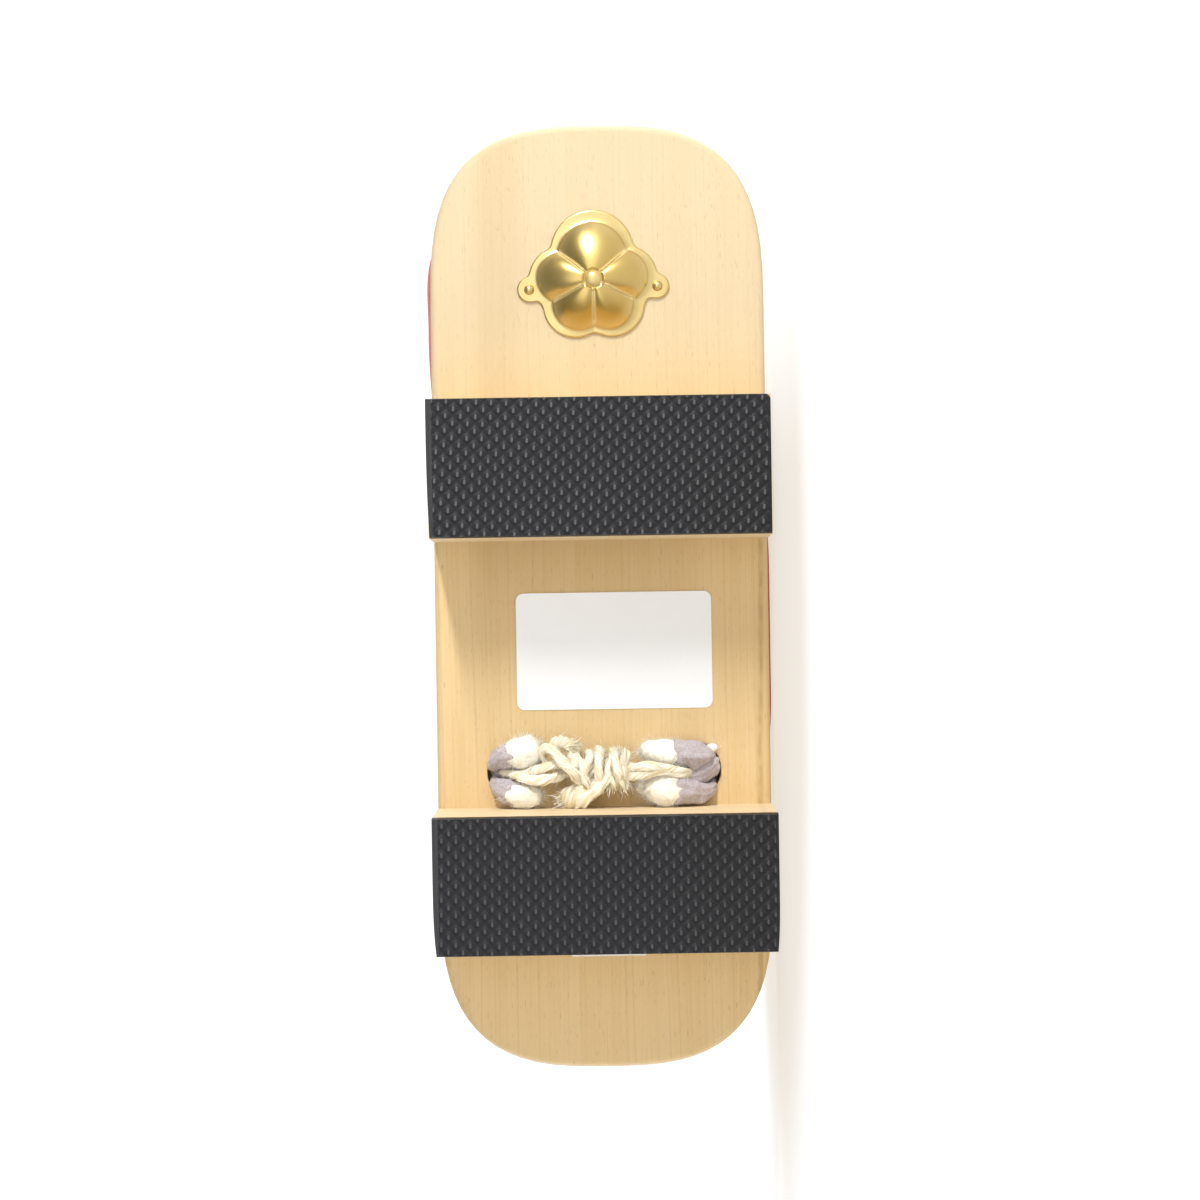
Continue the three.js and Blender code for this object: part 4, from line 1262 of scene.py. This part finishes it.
def paper_part(sheet, seed):
    """A thin sheet: rings of a rounded rectangle from its middle to its edge, where it lifts a little, and
    the same rings back on its glued side. The rounded rectangle is a quarter circle at each corner."""
    quarter = np.linspace(0, np.pi / 2, CORNER_STEPS)
    turn = np.concatenate([quarter + i * np.pi / 2 for i in range(4)])
    corner = np.repeat(np.array([(1, 1), (-1, 1), (-1, -1), (1, -1)]), CORNER_STEPS, axis=0)
    inset = np.array((sheet["long"] / 2, sheet["wide"] / 2)) - sheet["corner"]
    loop = corner * inset + sheet["corner"] * np.stack((np.cos(turn), np.sin(turn)), -1)
    share = np.array((0.02, 0.3, 0.6, PAPER["lift_from"], 0.95, 0.99, 1.0))[:, None]
    plan = share[..., None] * loop + (sheet["along"], sheet["out"])
    flat = np.concatenate((plan, np.zeros((*plan.shape[:2], 1))), -1)
    rise = np.clip((share - PAPER["lift_from"]) / (1 - PAPER["lift_from"]), 0, 1) ** 2
    lift = PAPER["lift"] * rise * np.clip(0.4 + 0.6 * waves(flat, PAPER["wave"], seed), 0, 1)
    glued = np.dstack((plan, UNDERSIDE - PAPER["gap"] - lift))
    shown = np.dstack((plan, UNDERSIDE - PAPER["gap"] - PAPER["sheet"] - lift))
    rings = np.concatenate((shown, glued[::-1]))
    return tube_part(rings, rings)


def paper_finish():
    """Coated paper: a cool white with faint fibres and a soft gloss."""
    finish, tone = new_finish("paper", {"Specular IOR Level": 0.4})
    place = shoe_place(tone)
    fibre = noise(place, (1.6, 1.6, 1.6), 4.0, 0.7)
    cloud = noise(place, (0.08, 0.08, 0.08), 2.0)
    share = step(0.4 * fibre + 0.6 * cloud, 0.3, 0.7)
    return wear(
        finish,
        base_color=blend(share, colour(0.785, 0.795, 0.81), colour(0.81, 0.816, 0.825)),
        roughness=0.42 + 0.16 * fibre,
        height=0.00001 * fibre,
    )


paper = paper_finish()
label = make_piece("paper_label_sheet", [paper_part(LABEL, 90)], [paper], sharp=50.0)
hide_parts("paper_label")
sticker = make_piece("heel_sticker", [paper_part(STICKER, 91)], [paper], sharp=50.0)


# The studio: a white floor that glows from within, with a painted shadow beside the shoe, and a white
# surround that is dim in a wide ring about the camera. A tall narrow lamp stands beyond the toe, a little
# to the right of the shoe, a wide soft one beyond the heel, and a soft fill near the camera.
FLOOR_HALF = 4.0
SURROUND = {"behind": 1.25, "low": 0.5, "high": 0.34, "core": 2.05}
# Each lamp: how far it is from the sole's middle, its turn from the toe to the left and its rise off the
# sole, in degrees, its height and width, its power, and whether polished things mirror it.
LAMPS = {
    "toe_lamp": (1.6, -12.5, 38.0, 0.6, 0.09, 23.2, True),
    "fill_lamp": (1.3, 180.0, 86.0, 1.1, 1.1, 3.0, False),
    "heel_lamp": (1.6, 180.0, 38.0, 1.0, 1.0, 10.0, False),
}


def floor_finish():
    """Matt white board with a barely visible mottle that glows from within: most behind the shoe and beside
    its toe. Beside its middle and its heel the glow is a warm grey, a painted shadow, and near the shoe the
    board itself is dark, so that its brightness there is mostly glow."""
    constants = {"Roughness": 0.9, "Specular IOR Level": 0.1, "Emission Strength": 1.0}
    finish, tone = new_finish("glowing_board", constants)
    place = tone.node("ShaderNodeTexCoord", {}, out="Object")
    mottle = noise(place, (3.0, 3.0, 3.0), 2.0)
    along, deep = split(place, 0, 1)
    away = step(length_of(stretched(place, (0.85, 0.5, 1.0))), 0.09, 0.15)
    board = blend(mottle, colour(0.91, 0.91, 0.91), colour(0.93, 0.93, 0.93))
    # Painted shadow: the glow beside the shoe's middle and heel is a warm grey.
    beside = blend(step(along, 0.02, 0.075), colour(0.69, 0.645, 0.58), colour(0.93, 0.92, 0.9))
    beyond = blend(step(deep, 0.0, 0.3), colour(0.2, 0.2, 0.2), colour(0.6, 0.6, 0.6))
    return wear(
        finish,
        base_color=blend(away, colour(0.16, 0.15, 0.14), board),
        emission_color=blend(away, beside, beyond),
    )


floor_mesh = bpy.data.meshes.new("floor")
corners = np.array([(-1, -1, 0), (1, -1, 0), (1, 1, 0), (-1, 1, 0)]) * FLOOR_HALF
floor_mesh.from_pydata(corners.tolist(), [], [(0, 1, 2, 3)])
floor_mesh.materials.append(floor_finish())
floor = bpy.data.objects.new("floor", floor_mesh)
bpy.context.scene.collection.objects.link(floor)

world = bpy.data.worlds.new("surround")
world.use_nodes = True
sky = Tone(world.node_tree)
way = sky.node("ShaderNodeTexCoord", {}, out="Generated")
sockets = {0: way, 1: (0.0, -1.0, 0.0)}
to_camera = way.node("ShaderNodeVectorMath", sockets, {"operation": "DOT_PRODUCT"}, out="Value")
dim = SURROUND["low"] + (SURROUND["high"] - SURROUND["low"]) * step(split(way, 2)[0], 0.1, 0.75)
facing = dim + (SURROUND["core"] - dim) * step(to_camera, 0.8, 0.97)
strength = SURROUND["behind"] + (facing - SURROUND["behind"]) * step(to_camera, -0.3, 0.05)
backdrop = world.node_tree.nodes["Background"]
world.node_tree.links.new(strength.socket, backdrop.inputs["Strength"])
backdrop.inputs["Color"].default_value = colour(1.0, 1.0, 1.0)
bpy.context.scene.world = world

for name, (far, aside, rise, tall, wide, power, mirrored) in LAMPS.items():
    aside, rise = np.radians(aside), np.radians(rise)
    lamp_way = (np.cos(aside) * np.cos(rise), np.sin(aside) * np.cos(rise), -np.sin(rise)) @ shoe_axes
    lamp_data = bpy.data.lights.new(name, "AREA")
    lamp_data.shape = "ELLIPSE"
    lamp_data.size = tall
    lamp_data.size_y = wide
    lamp_data.energy = power
    lamp = bpy.data.objects.new(name, lamp_data)
    bpy.context.scene.collection.objects.link(lamp)
    lamp.location = lay((0, 0, UNDERSIDE)) + far * lamp_way
    lamp.rotation_mode = "QUATERNION"
    lamp.rotation_quaternion = Vector(lamp_way).to_track_quat("Z", "Y")
    lamp.visible_camera = False
    lamp.visible_glossy = mirrored

# The camera looks straight at the sole, level with the floor and rolled so that the toe is at the top,
# leaning about a degree to the left as in the photograph.
CAMERA = {"along": -1.0, "out": -0.4, "up": -828.0, "roll": 0.9, "lens_px": 3372.0, "frame_px": 1200.0}
roll = np.radians(CAMERA["roll"])
to_right = (-np.sin(roll), np.cos(roll), 0.0) @ shoe_axes
to_top = (np.cos(roll), np.sin(roll), 0.0) @ shoe_axes
camera_data = bpy.data.cameras.new("camera")
camera_data.sensor_width = 36.0
camera_data.lens = camera_data.sensor_width * CAMERA["lens_px"] / CAMERA["frame_px"]
camera_data.clip_start = 0.01
camera = bpy.data.objects.new("camera", camera_data)
turned = Matrix((to_right, to_top, -up_way)).transposed().to_4x4()
camera.matrix_world = Matrix.Translation(lay((CAMERA["along"], CAMERA["out"], CAMERA["up"]))) @ turned
bpy.context.scene.collection.objects.link(camera)
bpy.context.scene.camera = camera
bpy.context.scene.view_settings.view_transform = "Standard"
